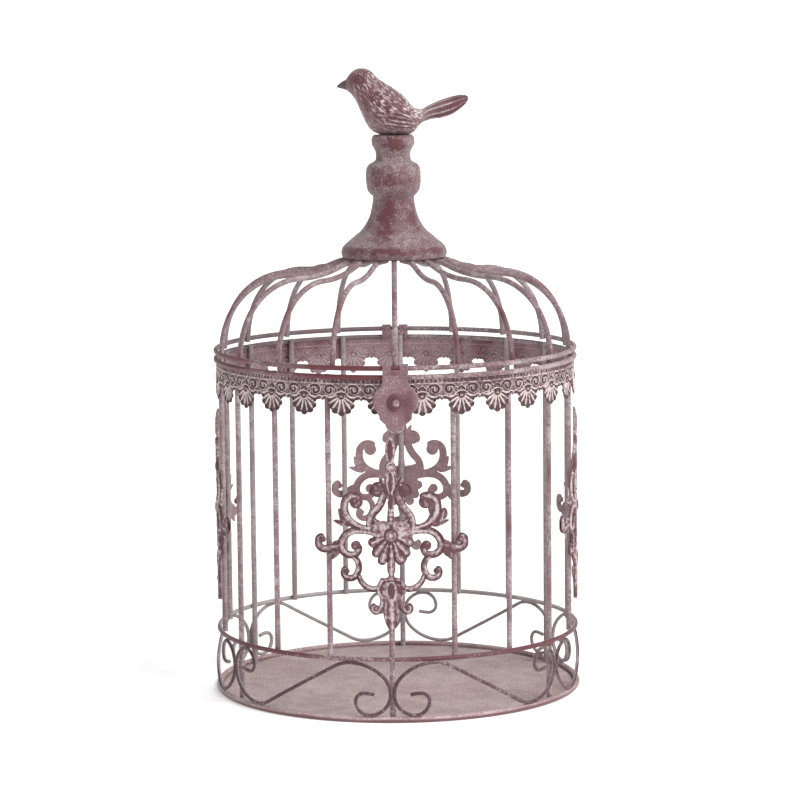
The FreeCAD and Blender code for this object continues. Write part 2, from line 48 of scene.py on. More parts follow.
# Camera, light and floor
VIEW_DISTANCE = 2.0111
VIEW_HEIGHT = 0.4409
VIEW_PITCH = math.radians(7.345)
VIEW_ROLL = -0.0100
VIEW_LENS = 144.69
VIEW_SHIFT = 0.0056
KEY_PLACE = (2.0, -1.3, 2.3)
KEY_STRENGTH = 2.6
KEY_SPREAD = math.radians(40.0)
SKY_STRENGTH = 0.5
FLOOR_REACH = 200.0
WHITE = (1.0, 1.0, 1.0, 1.0)


def add_camera():
    """A long lens a little above the cage, looking down at it."""
    camera = bpy.data.objects.new("view_camera", bpy.data.cameras.new("view_camera"))
    camera.data.lens = VIEW_LENS
    camera.data.shift_x = VIEW_SHIFT
    camera.matrix_world = (Matrix.Translation((0.0, -VIEW_DISTANCE, VIEW_HEIGHT))
                           @ Matrix.Rotation(math.pi / 2 - VIEW_PITCH, 4, "X")
                           @ Matrix.Rotation(VIEW_ROLL, 4, "Z"))
    bpy.context.scene.collection.objects.link(camera)
    bpy.context.scene.camera = camera


def add_key_light():
    """A far soft light from the upper right in front."""
    light = bpy.data.lights.new("key_light", "SUN")
    light.energy = KEY_STRENGTH
    light.angle = KEY_SPREAD
    key = bpy.data.objects.new("key_light", light)
    turn = (-Vector(KEY_PLACE)).to_track_quat("-Z", "Y")
    key.matrix_world = Matrix.Translation(KEY_PLACE) @ turn.to_matrix().to_4x4()
    bpy.context.scene.collection.objects.link(key)


def add_floor():
    """A plain floor that goes on past the view."""
    corners = [(x * FLOOR_REACH, y * FLOOR_REACH, 0) for x, y in ((-1, -1), (1, -1), (1, 1), (-1, 1))]
    mesh = bpy.data.meshes.new("studio_floor")
    mesh.from_pydata(corners, [], [(0, 1, 2, 3)])
    floor = bpy.data.objects.new("studio_floor", mesh)
    bpy.context.scene.collection.objects.link(floor)
    return floor


def add_studio():
    """White surroundings and one light, with colours shown as they are."""
    world = bpy.data.worlds.new("studio")
    world.use_nodes = True
    sky = world.node_tree.nodes["Background"].inputs
    sky["Color"].default_value = WHITE
    sky["Strength"].default_value = SKY_STRENGTH
    bpy.context.scene.world = world
    bpy.context.scene.view_settings.view_transform = "Standard"
    add_key_light()


# Finishes
def srgb(red, green, blue):
    """A colour as it is seen, turned into the linear values of a shader."""
    shares = [value / 255 for value in (red, green, blue)]
    return tuple([((share + 0.055) / 1.055) ** 2.4 for share in shares] + [1.0])


MAUVE = srgb(142, 108, 113)
CHALK = srgb(208, 193, 190)
GREY_CHALK = srgb(177, 166, 164)
GREY = srgb(146, 140, 139)
WINE = srgb(96, 44, 52)
DARK_WINE = srgb(70, 42, 46)
RED_WINE = srgb(98, 38, 46)
PALE_CHALK = srgb(222, 208, 205)
DENT_DEPTH = 0.00025
PAINT_GLOSS = 0.35
SHEEN_ROUGHNESS = 0.45
# Where the tray's wear and painted shade change, from its middle and from the floor
TRAY_GROOVE = (0.1104, 0.1114)
TRAY_RIM = (0.1113, 0.1119)
TRAY_OUTSIDE = (0.1130, 0.1142)
TRAY_FOOT = (0.0010, 0.0032)
# Where the hoops change from darker to paler, to the left of the hasp and behind it
HOOP_LEFT = (-0.075, -0.03)
HOOP_HASP = (-0.02, 0.02)


def put(tree, kind, sockets=None, **settings):
    """A node with its settings, and with its sockets set or linked."""
    node = tree.nodes.new(kind)
    for name, value in settings.items():
        setattr(node, name, value)
    for name, value in (sockets or {}).items():
        if isinstance(value, bpy.types.NodeSocket):
            tree.links.new(value, node.inputs[name])
        else:
            node.inputs[name].default_value = value
    return node


def sum_of(tree, *terms):
    """The sum of products, each term given as a socket and its factor."""
    total = None
    for socket, factor in terms:
        if total is None:
            node = put(tree, "ShaderNodeMath", {0: socket, 1: factor}, operation="MULTIPLY")
        else:
            node = put(tree, "ShaderNodeMath", {0: socket, 1: factor, 2: total}, operation="MULTIPLY_ADD")
        total = node.outputs[0]
    return total


def soft_edge(tree, value, low, high, least=0.0, most=1.0):
    """A smooth change from the least to the most as a value goes from low to high."""
    node = put(tree, "ShaderNodeMapRange",
               {"Value": value, "From Min": low, "From Max": high, "To Min": least, "To Max": most},
               interpolation_type="SMOOTHSTEP")
    return node.outputs[0]


def blend(tree, share, first, second):
    """The first colour with a share of the second."""
    node = put(tree, "ShaderNodeMix", {0: share, 6: first, 7: second}, data_type="RGBA")
    return node.outputs[2]


def clouds(tree, place, scale, detail, roughness):
    """Random blotches over the surface."""
    settings = {"Vector": place, "Scale": scale, "Detail": detail, "Roughness": roughness}
    return put(tree, "ShaderNodeTexNoise", settings).outputs[0]


def inside_share(group):
    """How far a surface faces the middle of the cage: grey primer where the spray gun did not reach, which
    also stands in as painted reflection for the pale grey that the white surroundings lend to the wires'
    grazing edges and far sides.
    """
    coordinates = put(group, "ShaderNodeTexCoord").outputs
    flat = put(group, "ShaderNodeVectorMath", {0: coordinates["Object"], 1: (1.0, 1.0, 0.0)},
               operation="MULTIPLY").outputs[0]
    outwards = put(group, "ShaderNodeVectorMath", {0: flat}, operation="NORMALIZE").outputs[0]
    facing = put(group, "ShaderNodeVectorMath", {0: outwards, 1: coordinates["Normal"]},
                 operation="DOT_PRODUCT").outputs["Value"]
    return soft_edge(group, facing, 0.55, -0.45)


# Inside is the grey primer colour on faces towards the middle, and it also serves as painted reflection on
# the wires' grazing edges and far sides.
WORN_PAINT_INPUTS = (("Paint", "NodeSocketColor", MAUVE), ("Chalk", "NodeSocketColor", CHALK),
                     ("Undercoat", "NodeSocketColor", WINE), ("Inside", "NodeSocketColor", GREY),
                     ("Inside Share", "NodeSocketFloat", 0.0), ("Relief", "NodeSocketFloat", 0.5),
                     ("Chalk Share", "NodeSocketFloat", 0.4), ("Undercoat Share", "NodeSocketFloat", 0.4),
                     ("Patches", "NodeSocketFloat", 40.0), ("Grain", "NodeSocketFloat", 720.0),
                     ("Speckle", "NodeSocketFloat", 1.6))
WORN_PAINT_OUTPUTS = (("Colour", "NodeSocketColor"), ("Roughness", "NodeSocketFloat"),
                      ("Height", "NodeSocketFloat"))


def coat_colour(group, given, inside, tone, bare, chalky):
    """The toned paint, rubbed through to its undercoat where it is bare, with chalk over both."""
    # The inside colour is grey primer and painted reflection on the faces towards the middle of the cage.
    coat = blend(group, inside, given["Paint"], given["Inside"])
    toned = put(group, "ShaderNodeMix", {0: 1.0, 6: coat, 7: tone}, data_type="RGBA",
                blend_type="MULTIPLY").outputs[2]
    covered = blend(group, sum_of(group, (bare, 0.85), (inside, -0.7)), toned, given["Undercoat"])
    return blend(group, sum_of(group, (chalky, 0.85)), covered, given["Chalk"])


def make_worn_paint():
    """Paint rubbed through to a wine undercoat in the hollows and dry brushed with chalk on the ridges."""
    group = bpy.data.node_groups.new("worn_paint", "ShaderNodeTree")
    for name, kind, value in WORN_PAINT_INPUTS:
        group.interface.new_socket(name, in_out="INPUT", socket_type=kind).default_value = value
    for name, kind in WORN_PAINT_OUTPUTS:
        group.interface.new_socket(name, in_out="OUTPUT", socket_type=kind)
    given = group.nodes.new("NodeGroupInput").outputs
    place = put(group, "ShaderNodeTexCoord").outputs["Object"]
    patches = clouds(group, place, given["Patches"], 3.0, 0.55)
    rubs = clouds(group, place, sum_of(group, (given["Patches"], 6.1)), 4.0, 0.65)
    grain = clouds(group, place, given["Grain"], 3.0, 0.75)
    dots = put(group, "ShaderNodeMath", {0: grain, 1: 0.5}, operation="SUBTRACT").outputs[0]
    bare = sum_of(group, (given["Undercoat Share"], 1.0), (given["Relief"], -1.2), (patches, 1.0),
                  (rubs, 0.4), (grain, 0.3))
    bare = soft_edge(group, bare, 0.5, 0.8)
    chalky = sum_of(group, (given["Chalk Share"], 1.0), (given["Relief"], 1.2), (rubs, 0.6),
                    (dots, given["Speckle"]), (patches, -0.8))
    chalky = soft_edge(group, chalky, 0.76, 1.14)
    inside = sum_of(group, (inside_share(group), given["Inside Share"]))
    tone = soft_edge(group, sum_of(group, (rubs, 0.5), (grain, 0.5)), 0.3, 0.7, 0.76, 1.18)
    roughness = sum_of(group, (chalky, 0.2), (bare, -0.12), (grain, 0.1))
    roughness = put(group, "ShaderNodeMath", {0: roughness, 1: 0.58}, operation="ADD").outputs[0]
    put(group, "NodeGroupOutput", {"Colour": coat_colour(group, given, inside, tone, bare, chalky),
                                   "Roughness": roughness,
                                   "Height": sum_of(group, (grain, 0.55), (chalky, 0.45), (bare, -0.3))})
    return group


def raised_wear_and_painted_light(tree):
    """The wear that a piece carries for each place of its relief; on the hasp it also holds painted shade
    round the knob and a painted highlight on it.
    """
    return put(tree, "ShaderNodeAttribute", attribute_name="raised").outputs["Fac"]


def tray_wear_and_painted_shade(tree):
    """The tray's rolled edge is darkened to the undercoat in the groove inside it and along its foot, as
    painted shade.
    """
    place = put(tree, "ShaderNodeTexCoord").outputs["Object"]
    flat = put(tree, "ShaderNodeVectorMath", {0: place, 1: (1.0, 1.0, 0.0)}, operation="MULTIPLY").outputs[0]
    reach = put(tree, "ShaderNodeVectorMath", {0: flat}, operation="LENGTH").outputs["Value"]
    height = put(tree, "ShaderNodeSeparateXYZ", {"Vector": place}).outputs["Z"]
    # Painted shade: the groove in the rolled edge and the foot outside are darkened to the undercoat.
    groove = soft_edge(tree, reach, *TRAY_GROOVE, 0.54, 0.2)
    rim = soft_edge(tree, reach, *TRAY_RIM, 0.0, 0.28)
    outside = soft_edge(tree, reach, *TRAY_OUTSIDE)
    foot = soft_edge(tree, height, *TRAY_FOOT, -0.4, 0.0)
    return sum_of(tree, (groove, 1.0), (rim, 1.0), (foot, outside))


def hoop_left_right_tone(tree):
    """The hoops are darkest and reddest just to the left of the hasp, and paler from the hasp rightwards."""
    place = put(tree, "ShaderNodeTexCoord").outputs["Object"]
    across = put(tree, "ShaderNodeSeparateXYZ", {"Vector": place}).outputs["X"]
    left = soft_edge(tree, across, *HOOP_LEFT, 0.44, 0.2)
    right = soft_edge(tree, across, *HOOP_HASP, 0.0, 0.36)
    return sum_of(tree, (left, 1.0), (right, 1.0))


def paint(name, worn_paint, wear=None, bump=0.5, sheen=0.2, **values):
    """A painted finish, with its wear from place to place; on the tray the wear also holds painted shade,
    and on the hasp painted shade and a painted highlight.
    """
    material = bpy.data.materials.new(name)
    material.use_nodes = True
    tree = material.node_tree
    surface = tree.nodes["Principled BSDF"].inputs
    finish = put(tree, "ShaderNodeGroup", node_tree=worn_paint)
    for socket, value in values.items():
        finish.inputs[socket.replace("_", " ")].default_value = value
    if wear:
        tree.links.new(wear(tree), finish.inputs["Relief"])
    dents = put(tree, "ShaderNodeBump",
                {"Strength": bump, "Distance": DENT_DEPTH, "Height": finish.outputs["Height"]})
    tree.links.new(finish.outputs["Colour"], surface["Base Color"])
    tree.links.new(finish.outputs["Roughness"], surface["Roughness"])
    tree.links.new(dents.outputs["Normal"], surface["Normal"])
    surface["Specular IOR Level"].default_value = PAINT_GLOSS
    surface["Sheen Weight"].default_value = sheen
    surface["Sheen Roughness"].default_value = SHEEN_ROUGHNESS
    return material


def make_floor_finish():
    """A nearly white floor with faint clouds, lit a little from within."""
    material = bpy.data.materials.new("pale_floor")
    material.use_nodes = True
    tree = material.node_tree
    surface = tree.nodes["Principled BSDF"].inputs
    shades = put(tree, "ShaderNodeTexNoise", {"Scale": 3.0, "Detail": 2.0}).outputs[0]
    tree.links.new(blend(tree, shades, srgb(251, 250, 250), srgb(254, 254, 254)), surface["Base Color"])
    for name, value in (("Roughness", 0.8), ("Specular IOR Level", 0.0), ("Emission Color", WHITE),
                        ("Emission Strength", 0.3)):
        surface[name].default_value = value
    return material


# Flat drawings
def soft_step(low, high, value):
    """0 at the low value and 1 at the high one, smooth between them."""
    share = np.clip((value - low) / (high - low), 0.0, 1.0)
    return share * share * (3.0 - 2.0 * share)


def hump(value, middle, reach):
    """1 at the middle, falling to 0 at that reach on both sides."""
    return np.clip(1.0 - ((value - middle) / reach) ** 2, 0.0, 1.0)


def between(ends, share):
    """A share of the way from the first of two values to the second."""
    return ends[0] + (ends[1] - ends[0]) * share


def arc_through(first, second, third, spacing):
    """Points on the arc through three points, without the last."""
    (ax, ay), (bx, by), (cx, cy) = first, second, third
    twice = 2 * (ax * (by - cy) + bx * (cy - ay) + cx * (ay - by))
    if abs(twice) < 1e-6:
        count = max(2, int(math.dist(first, third) / spacing))
        return [(ax + (cx - ax) * k / count, ay + (cy - ay) * k / count) for k in range(count)]
    squares = [x * x + y * y for x, y in (first, second, third)]
    mx = (squares[0] * (by - cy) + squares[1] * (cy - ay) + squares[2] * (ay - by)) / twice
    my = (squares[0] * (cx - bx) + squares[1] * (ax - cx) + squares[2] * (bx - ax)) / twice
    start, through, end = (math.atan2(y - my, x - mx) for x, y in (first, second, third))
    full = 2 * math.pi
    sweep = (end - start) % full
    if (through - start) % full > sweep:
        sweep -= full
    radius = math.hypot(ax - mx, ay - my)
    count = max(2, int(abs(sweep) * radius / spacing))
    turns = [start + sweep * k / count for k in range(count)]
    return [(mx + radius * math.cos(turn), my + radius * math.sin(turn)) for turn in turns]


def arcs(points, spacing=0.25):
    """A line of arcs through each three points in turn, where the end of one is the start of the next."""
    line = []
    for first in range(0, len(points) - 2, 2):
        line += arc_through(*points[first:first + 3], spacing)
    return np.array(line + [points[-1]])


# Far outside a drawing, how far a form's edge still counts, and a scroll arm's taper and floor
FAR = 50.0
RIM = 0.4
ARM_TAPER = 0.15
ARM_FLOOR = 0.5


class Drawing:
    """A relief over flat points: how far inside its outline, how high and how worn each point is."""

    def __init__(self, across, up):
        self.across = across
        self.up = up
        self.inside = np.full(across.shape, -FAR)
        self.height = np.zeros(across.shape)
        self.raised = np.full(across.shape, 0.5)

    def lay(self, inside, height, raised):
        """Puts a form over what is there, wherever it stands higher."""
        shown = (inside > -RIM) & (height > self.height)
        self.inside = np.maximum(self.inside, inside)
        self.height = np.where(shown, height, self.height)
        self.raised = np.where(shown, raised, self.raised)

    def beside(self, line, reach):
        """The distance from a line, positive on its left, and the share of its length."""
        gap = np.full(self.across.shape, FAR)
        share = np.zeros(self.across.shape)
        low, high = line.min(0) - reach, line.max(0) + reach
        near = ((self.across > low[0]) & (self.across < high[0]) & (self.up > low[1]) & (self.up < high[1]))
        if not near.any():
            return gap, share
        across = self.across[near][:, None] - line[:, 0]
        up = self.up[near][:, None] - line[:, 1]
        squares = across ** 2 + up ** 2
        nearest = squares.argmin(1)
        rows = np.arange(len(nearest))
        way = np.gradient(line, axis=0)[nearest]
        side = np.sign(way[:, 0] * up[rows, nearest] - way[:, 1] * across[rows, nearest])
        gap[near] = np.sqrt(squares[rows, nearest]) * np.where(side == 0, 1, side)
        share[near] = nearest / (len(line) - 1)
        return gap, share

    def within(self, outline):
        """How far inside a closed outline each point is."""
        edge = FAR
        odd = np.zeros(self.across.shape, bool)
        for (ax, ay), (bx, by) in zip(outline, np.roll(outline, -1, 0)):
            dx, dy = bx - ax, by - ay
            reach = ((self.across - ax) * dx + (self.up - ay) * dy) / (dx * dx + dy * dy + 1e-12)
            share = np.clip(reach, 0, 1)
            edge = np.minimum(edge, np.hypot(self.across - ax - share * dx, self.up - ay - share * dy))
            if ay != by:
                crosses = (ay > self.up) != (by > self.up)
                odd ^= crosses & (self.across < ax + dx * (self.up - ay) / dy)
        return np.where(odd, edge, -edge)

    def along(self, root, end):
        """How far each point is along a line from its root and how far off it, and the line's length."""
        way = np.array(end, float) - np.array(root, float)
        length = math.hypot(*way)
        way /= length
        across, up = self.across - root[0], self.up - root[1]
        return across * way[0] + up * way[1], abs(across * way[1] - up * way[0]), length

    def channel(self, points, width, height, pale):
        """A scroll arm: a scooped band with a broad rim inside its curl and a thin one outside."""
        line = arcs(points)
        gap, share = self.beside(line, width)
        half = width / 2 * (1 - ARM_TAPER + ARM_TAPER * np.sin(math.pi * np.clip(share, 0.04, 0.96)))
        turns = np.diff(line, axis=0)
        turning = (turns[:-1, 0] * turns[1:, 1] - turns[:-1, 1] * turns[1:, 0]).sum()
        across = gap / half * math.copysign(1, turning)
        rims = np.maximum(hump(across, 0.38, 0.56), 0.55 * hump(across, -0.74, 0.22))
        worn = 0.5 + pale * hump(across, 0.3, 0.5) - 0.5 * soft_step(-0.3, -0.8, across)
        worn = worn - 0.4 * soft_step(0.75, 1.0, across)
        self.lay(half - abs(gap), height * (ARM_FLOOR + (1 - ARM_FLOOR) * rims), worn)

    def ridge(self, points, width, height, foot, worn, crest=1.0):
        """A round raised line, worn from the first share at its edges to the second on its crest."""
        gap = abs(self.beside(arcs(points), width)[0])
        crown = np.sqrt(np.clip(1 - (gap / (width / 2)) ** 2, 0, 1))
        self.lay(width / 2 - gap, np.where(gap < width / 2, foot + height * crown, 0),
                 between(worn, crown ** crest))

    def gutter(self, points, width, height, foot, worn):
        """A sunk line between two raised rims, worn from the first share in it to the second on them."""
        gap = abs(self.beside(arcs(points), width)[0])
        rims = hump(gap / (width / 2), 0.78, 0.3)
        self.lay(width / 2 - gap, np.where(gap < width / 2, foot + height * rims, 0),
                 between(worn, rims))

    def cup(self, across, up, radius, height, rim=0.3, worn=0.75):
        """A round eye with a raised rim and a hollow middle."""
        gap = np.hypot(self.across - across, self.up - up) / radius
        edge = hump(gap, 1 - rim, rim)
        hollow = np.where(gap < 1 - rim, 0.3 + 0.7 * (gap / (1 - rim)) ** 2, edge)
        self.lay((1 - gap) * radius, height * (0.4 + 0.6 * np.maximum(hollow, edge) * (gap < 1)),
                 0.06 + worn * edge ** 2)

    def dome(self, across, up, wide, tall, height, foot, worn):
        """An oval dome, worn from the first share at its edge to the second at its top."""
        gap = np.sqrt(((self.across - across) / wide) ** 2 + ((self.up - up) / tall) ** 2)
        crown = np.sqrt(np.clip(1 - gap ** 2, 0, 1))
        self.lay((1 - gap) * min(wide, tall), np.where(gap < 1, foot + height * crown, 0),
                 between(worn, crown))

    def lobe(self, root, end, width, height, scooped=False):
        """A petal that widens from its root to a round end, with a raised vein or, scooped, a raised rim."""
        reach, side, length = self.along(root, end)
        straight = length - width / 2
        share = np.clip(reach / straight, 0, 1)
        half = width / 2 * (0.18 + 0.82 * share)
        gap = np.hypot(side, reach - np.clip(reach, 0, straight))
        across = np.clip(gap / half, 0, 1.5)
        if scooped:
            rims = hump(across, 0.95, 0.4)
            tops = height * (0.6 + 0.4 * rims)
            worn = 0.37 + 0.5 * rims - 0.7 * soft_step(0.78, 0.92, reach / length)
        else:
            tops = height * (0.35 + 0.65 * np.sqrt(np.clip(1 - across ** 2, 0, 1)))
            worn = 0.32 * soft_step(0.95, 0.6, across) + 0.42 * hump(across, 0.0, 0.3)
            worn = 0.06 + worn * soft_step(0.1, 0.5, share) - 0.25 * soft_step(0.85, 1.0, reach / length)
        self.lay(half - gap, np.where(gap < half + RIM, tops, 0), worn)

    def spear(self, root, tip, width, height, foot=0.0, worn=(0.75, 0.2)):
        """A pointed leaf, worn from the first share at its edge to the second at its raised vein."""
        reach, side, length = self.along(root, tip)
        share = reach / length
        leaf = np.clip(share, 0, 1)
        half = 1.19 * width * leaf ** 0.5 * (1 - leaf) ** 0.8
        inside = np.where((share < 0) | (share > 1), -FAR, half - side)
        across = np.clip(side / np.maximum(half, 1e-3), 0, 1)
        tops = foot + height * (0.45 + 0.55 * (1 - across))
        self.lay(inside, np.where(inside > -RIM, tops, 0), between(worn[::-1], across ** 2))

    def swell(self, outline, height, slope, worn):
        """A closed outline that rises from its edge over the slope."""
        inside = self.within(outline)
        rise = np.sqrt(np.clip(1 - (1 - np.clip(inside / slope, 0, 1)) ** 2, 0, 1))
        self.lay(inside, height * (0.4 + 0.6 * rise), between(worn, rise))


# Plates cut to a drawing
def mesh_object(name, places, faces, raised, sharp=40):
    """A smooth-shaded object with its wear, whose edges stay crisp past the sharp angle."""
    mesh = bpy.data.meshes.new(name)
    mesh.from_pydata(np.asarray(places, float) * MM, [], faces)
    worn = mesh.attributes.new("raised", "FLOAT", "POINT")
    worn.data.foreach_set("value", np.asarray(raised, np.float32))
    mesh.polygons.foreach_set("use_smooth", [True] * len(mesh.polygons))
    mesh.set_sharp_from_angle(angle=math.radians(sharp))
    piece = bpy.data.objects.new(name, mesh)
    bpy.context.scene.collection.objects.link(piece)
    return piece


def grid_cells(inside):
    """Faces of a grid clipped to where the drawing is, and the grid edges that its outline crosses."""
    columns, rows = inside.shape
    number = np.arange(columns * rows).reshape(columns, rows)
    solid = inside > 0
    corners = [number[:-1, :-1], number[1:, :-1], number[1:, 1:], number[:-1, 1:]]
    filled = [solid[:-1, :-1], solid[1:, :-1], solid[1:, 1:], solid[:-1, 1:]]
    whole = filled[0] & filled[1] & filled[2] & filled[3]
    partly = (filled[0] | filled[1] | filled[2] | filled[3]) & ~whole
    faces = np.stack([corner[whole] for corner in corners], 1).tolist()
    crossings = {}
    rims = []
    for cell in zip(*np.nonzero(partly)):
        ring = [int(corner[cell]) for corner in corners]
        held = [bool(fill[cell]) for fill in filled]
        face = []
        cuts = []
        for k in range(4):
            if held[k]:
                face.append(ring[k])
            if held[k] != held[(k + 1) % 4]:
                pair = tuple(sorted((ring[k], ring[(k + 1) % 4])))
                crossings.setdefault(pair, columns * rows + len(crossings))
                cuts.append((len(face), held[k]))
                face.append(crossings[pair])
        faces.append(face)
        for place, leaving in cuts:
            if leaving:
                rims.append((face[place], face[(place + 1) % len(face)]))
    return faces, crossings, rims


def cut_plate(draw, low, high, spacing):
    """A plate's outline, face heights and wear: flat places, heights, wear, faces and outline edges."""
    columns, rows = (int(round((end - start) / spacing)) + 1 for start, end in zip(low, high))
    across, up = np.meshgrid(np.linspace(low[0], high[0], columns), np.linspace(low[1], high[1], rows),
                             indexing="ij")
    grid = draw(across, up)
    faces, crossings, rims = grid_cells(grid.inside)
    flat = np.stack([across.ravel(), up.ravel()], 1)
    depth = grid.inside.ravel()
    pairs = np.array(list(crossings))
    share = depth[pairs[:, 0]] / (depth[pairs[:, 0]] - depth[pairs[:, 1]])
    edge = flat[pairs[:, 0]] + (flat[pairs[:, 1]] - flat[pairs[:, 0]]) * share[:, None]
    border = draw(edge[:, 0], edge[:, 1])
    places = np.concatenate([flat, edge])
    heights = np.concatenate([grid.height.ravel(), border.height])
    worn = np.concatenate([grid.raised.ravel(), border.raised])
    used = np.unique(np.concatenate([np.array(face) for face in faces]))
    order = np.full(len(places), -1)
    order[used] = np.arange(len(used))
    faces = [order[np.array(face)].tolist() for face in faces]
    rims = [(int(order[start]), int(order[end])) for start, end in rims]
    return places[used], heights[used], worn[used], faces, rims


def closed_plate(front, back, faces, rims):
    """Places and faces of a plate with a front, a back and walls along its outline."""
    count = len(front)
    shell = [*faces, *([place + count for place in reversed(face)] for face in faces)]
    shell += [(start, start + count, end + count, end) for start, end in rims]
    return np.concatenate([front, back]), shell


def finish_plate(plate, faces, rims, front_finish, back_finish, repeats=1):
    """Gives a plate one finish on its front and its walls, and another on its back."""
    plate.data.materials.append(front_finish)
    plate.data.materials.append(back_finish)
    sides = [0] * len(faces) + [1] * len(faces) + [0] * len(rims)
    plate.data.polygons.foreach_set("material_index", sides * repeats)


def round_cage(angle, radius, up):
    """Places at an angle from the front of the cage, a radius and a height."""
    return np.stack([radius * np.sin(angle), -radius * np.cos(angle), up], 1)


def ripples(places, scale):
    """Smooth random lumps at each place."""
    spots = places.reshape(-1, 3) * scale
    return np.array([noise.noise(Vector(spot)) for spot in spots]).reshape(places.shape[:-1])


# Lace band: one palmette with its scrolls, repeated round the cage
LACE_COUNT = 29
LACE_TURN = -4.3
LACE_INNER = 111.7
LACE_WALL = 112.1
LACE_PITCH = 2 * math.pi * LACE_WALL / LACE_COUNT
LACE_TOP = 208.3
LACE_BOSS = 198.4
LACE_HEAD = LACE_TOP - LACE_BOSS
LACE_DROP = 12.9
LACE_SHEET = 0.45
LACE_LEAST = 0.3
LACE_SPACING = 0.3
LACE_EDGE = -2.2
LACE_SCALLOP = 5.2
LACE_FLUTES = 9
PALMETTE_TIPS = ((0.0, -12.1, 4.3), (4.7, -10.6, 4.2), (7.7, -7.3, 4.0), (8.5, -3.0, 3.6))
LACE_SCROLL = ((3.4, 2.6), (4.4, 5.0), (7.4, 5.9), (10.0, 4.3), (8.9, 1.9), (6.7, 2.2), (6.9, 4.0))
LACE_CROWN = ((0.0, 4.7), (1.0, 4.2), (1.8, 3.2), (2.6, 3.5), (3.4, 4.2))
LACE_GARLAND = ((0.0, 2.5), (2.6, 1.8), (4.6, -0.3), (7.2, -1.2), (9.6, 0.0), (10.9, -0.2), (12.2, -1.0))
LACE_WORN = (-0.3, 0.95)
LACE_MOTTLE = 0.24
LACE_BACK_WORN = 0.42
LACE_DROPS = ((10.2, -1.5, 0.75), (12.13, -2.0, 0.95))


def lace_field(lace):
    """The flat ground of the lace, down to its scalloped edge on both sides of the palmette."""
    scallop = LACE_EDGE + 0.5 * np.cos(2 * math.pi * (lace.across - LACE_PITCH / 2) / LACE_SCALLOP)
    field = np.minimum(lace.up - scallop, LACE_HEAD - lace.up)
    behind = np.minimum(np.maximum(field, 0.0), LACE_HEAD - lace.up)
    return np.minimum(np.where(lace.across < 6.5, behind, field), 6.0)


def lay_flutes(lace, field):
    """The strip along the top, hollowed into flutes, with a thin line under it."""
    flute = abs((lace.across / (LACE_PITCH / LACE_FLUTES) + 0.5) % 1.0 - 0.5)
    hollow = hump(flute, 0.0, 0.3) * hump(lace.up, LACE_HEAD - 1.25, 0.95)
    strip = soft_step(LACE_HEAD - 2.9, LACE_HEAD - 2.5, lace.up)
    lace.lay(np.where(strip > 0, field, -FAR), np.where(strip > 0, 0.46 + 0.4 * strip - 0.55 * hollow, 0),
             0.5 - 0.5 * hollow)
    lace.ridge([(across, LACE_HEAD - 2.75) for across in (0.0, 6.0, 12.3)], 0.8, 0.6, 0.3, LACE_WORN)


def draw_lace(across, up):
    """A palmette under its boss, with scrolls, a garland and drops on both sides."""
    side = abs((across + LACE_PITCH / 2) % LACE_PITCH - LACE_PITCH / 2)
    lace = Drawing(side, up - LACE_BOSS)
    field = lace_field(lace)
    lace.lay(field, 0.45, 0.49)
    for across_tip, up_tip, width in reversed(PALMETTE_TIPS):
        lace.lobe((0.0, 0.2), (across_tip, up_tip), width, 1.2, scooped=True)
    lay_flutes(lace, field)
    lace.gutter(LACE_SCROLL, 2.4, 0.5, 0.47, LACE_WORN)
    lace.cup(7.9, 3.6, 1.1, 1.0)
    lace.gutter(LACE_CROWN, 2.0, 0.5, 0.48, LACE_WORN)
    lace.ridge(LACE_GARLAND, 1.15, 0.9, 0.5, LACE_WORN)
    lace.cup(0.0, -0.2, 2.2, 1.55, 0.25, 0.2)
    for across_drop, up_drop, radius in LACE_DROPS:
        lace.dome(across_drop, up_drop, radius, radius, 0.6, 0.45, (0.0, 0.5))
    return lace


def repeat_lace(unit, shell, worn, seam):
    """The lace's units side by side round the cage, sharing the points along their seams."""
    places, wear, faces, seen = [], [], [], {}
    for order in range(LACE_COUNT):
        turn = math.radians(LACE_TURN) + order * 2 * math.pi / LACE_COUNT
        ahead, aside = math.cos(turn), math.sin(turn)
        spin = np.array([[ahead, -aside, 0], [aside, ahead, 0], [0, 0, 1]])
        numbers = []
        for index, place in enumerate(unit @ spin.T):
            key = tuple(np.round(place, 4)) if seam[index] else None
            if key is not None and key in seen:
                numbers.append(seen[key])
                continue
            if key is not None:
                seen[key] = len(places)
            numbers.append(len(places))
            places.append(place)
            wear.append(worn[index])
        faces += [[numbers[index] for index in face] for face in shell]
    return places, faces, wear


def make_lace(finish, back_finish):
    """The pressed lace band, a thin sheet whose back follows its front."""
    low, high = (-LACE_PITCH / 2, LACE_BOSS - LACE_DROP), (LACE_PITCH / 2, LACE_TOP + 0.2)
    spacing = LACE_PITCH / round(LACE_PITCH / LACE_SPACING)
    flat, heights, worn, faces, rims = cut_plate(draw_lace, low, high, spacing)
    angle = flat[:, 0] / LACE_WALL
    heights = np.maximum(heights, LACE_LEAST)
    sheet = np.minimum(LACE_SHEET, 0.8 * heights)
    front = round_cage(angle, LACE_INNER + heights, flat[:, 1])
    back = round_cage(angle, LACE_INNER + heights - sheet, flat[:, 1])
    unit, shell = closed_plate(front, back, faces, rims)
    back_worn = LACE_BACK_WORN + 0.3 * soft_step(0.45, 0.9, worn)
    worn = np.concatenate([worn + LACE_MOTTLE * ripples(front, 0.5), back_worn])
    seam = np.concatenate([abs(abs(flat[:, 0]) - LACE_PITCH / 2) < 1e-6] * 2)
    lace = mesh_object("lace_relief", *repeat_lace(unit, shell, worn, seam))
    finish_plate(lace, faces, rims, finish, back_finish, LACE_COUNT)
    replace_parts(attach(lace, "cage"), "lace_band")


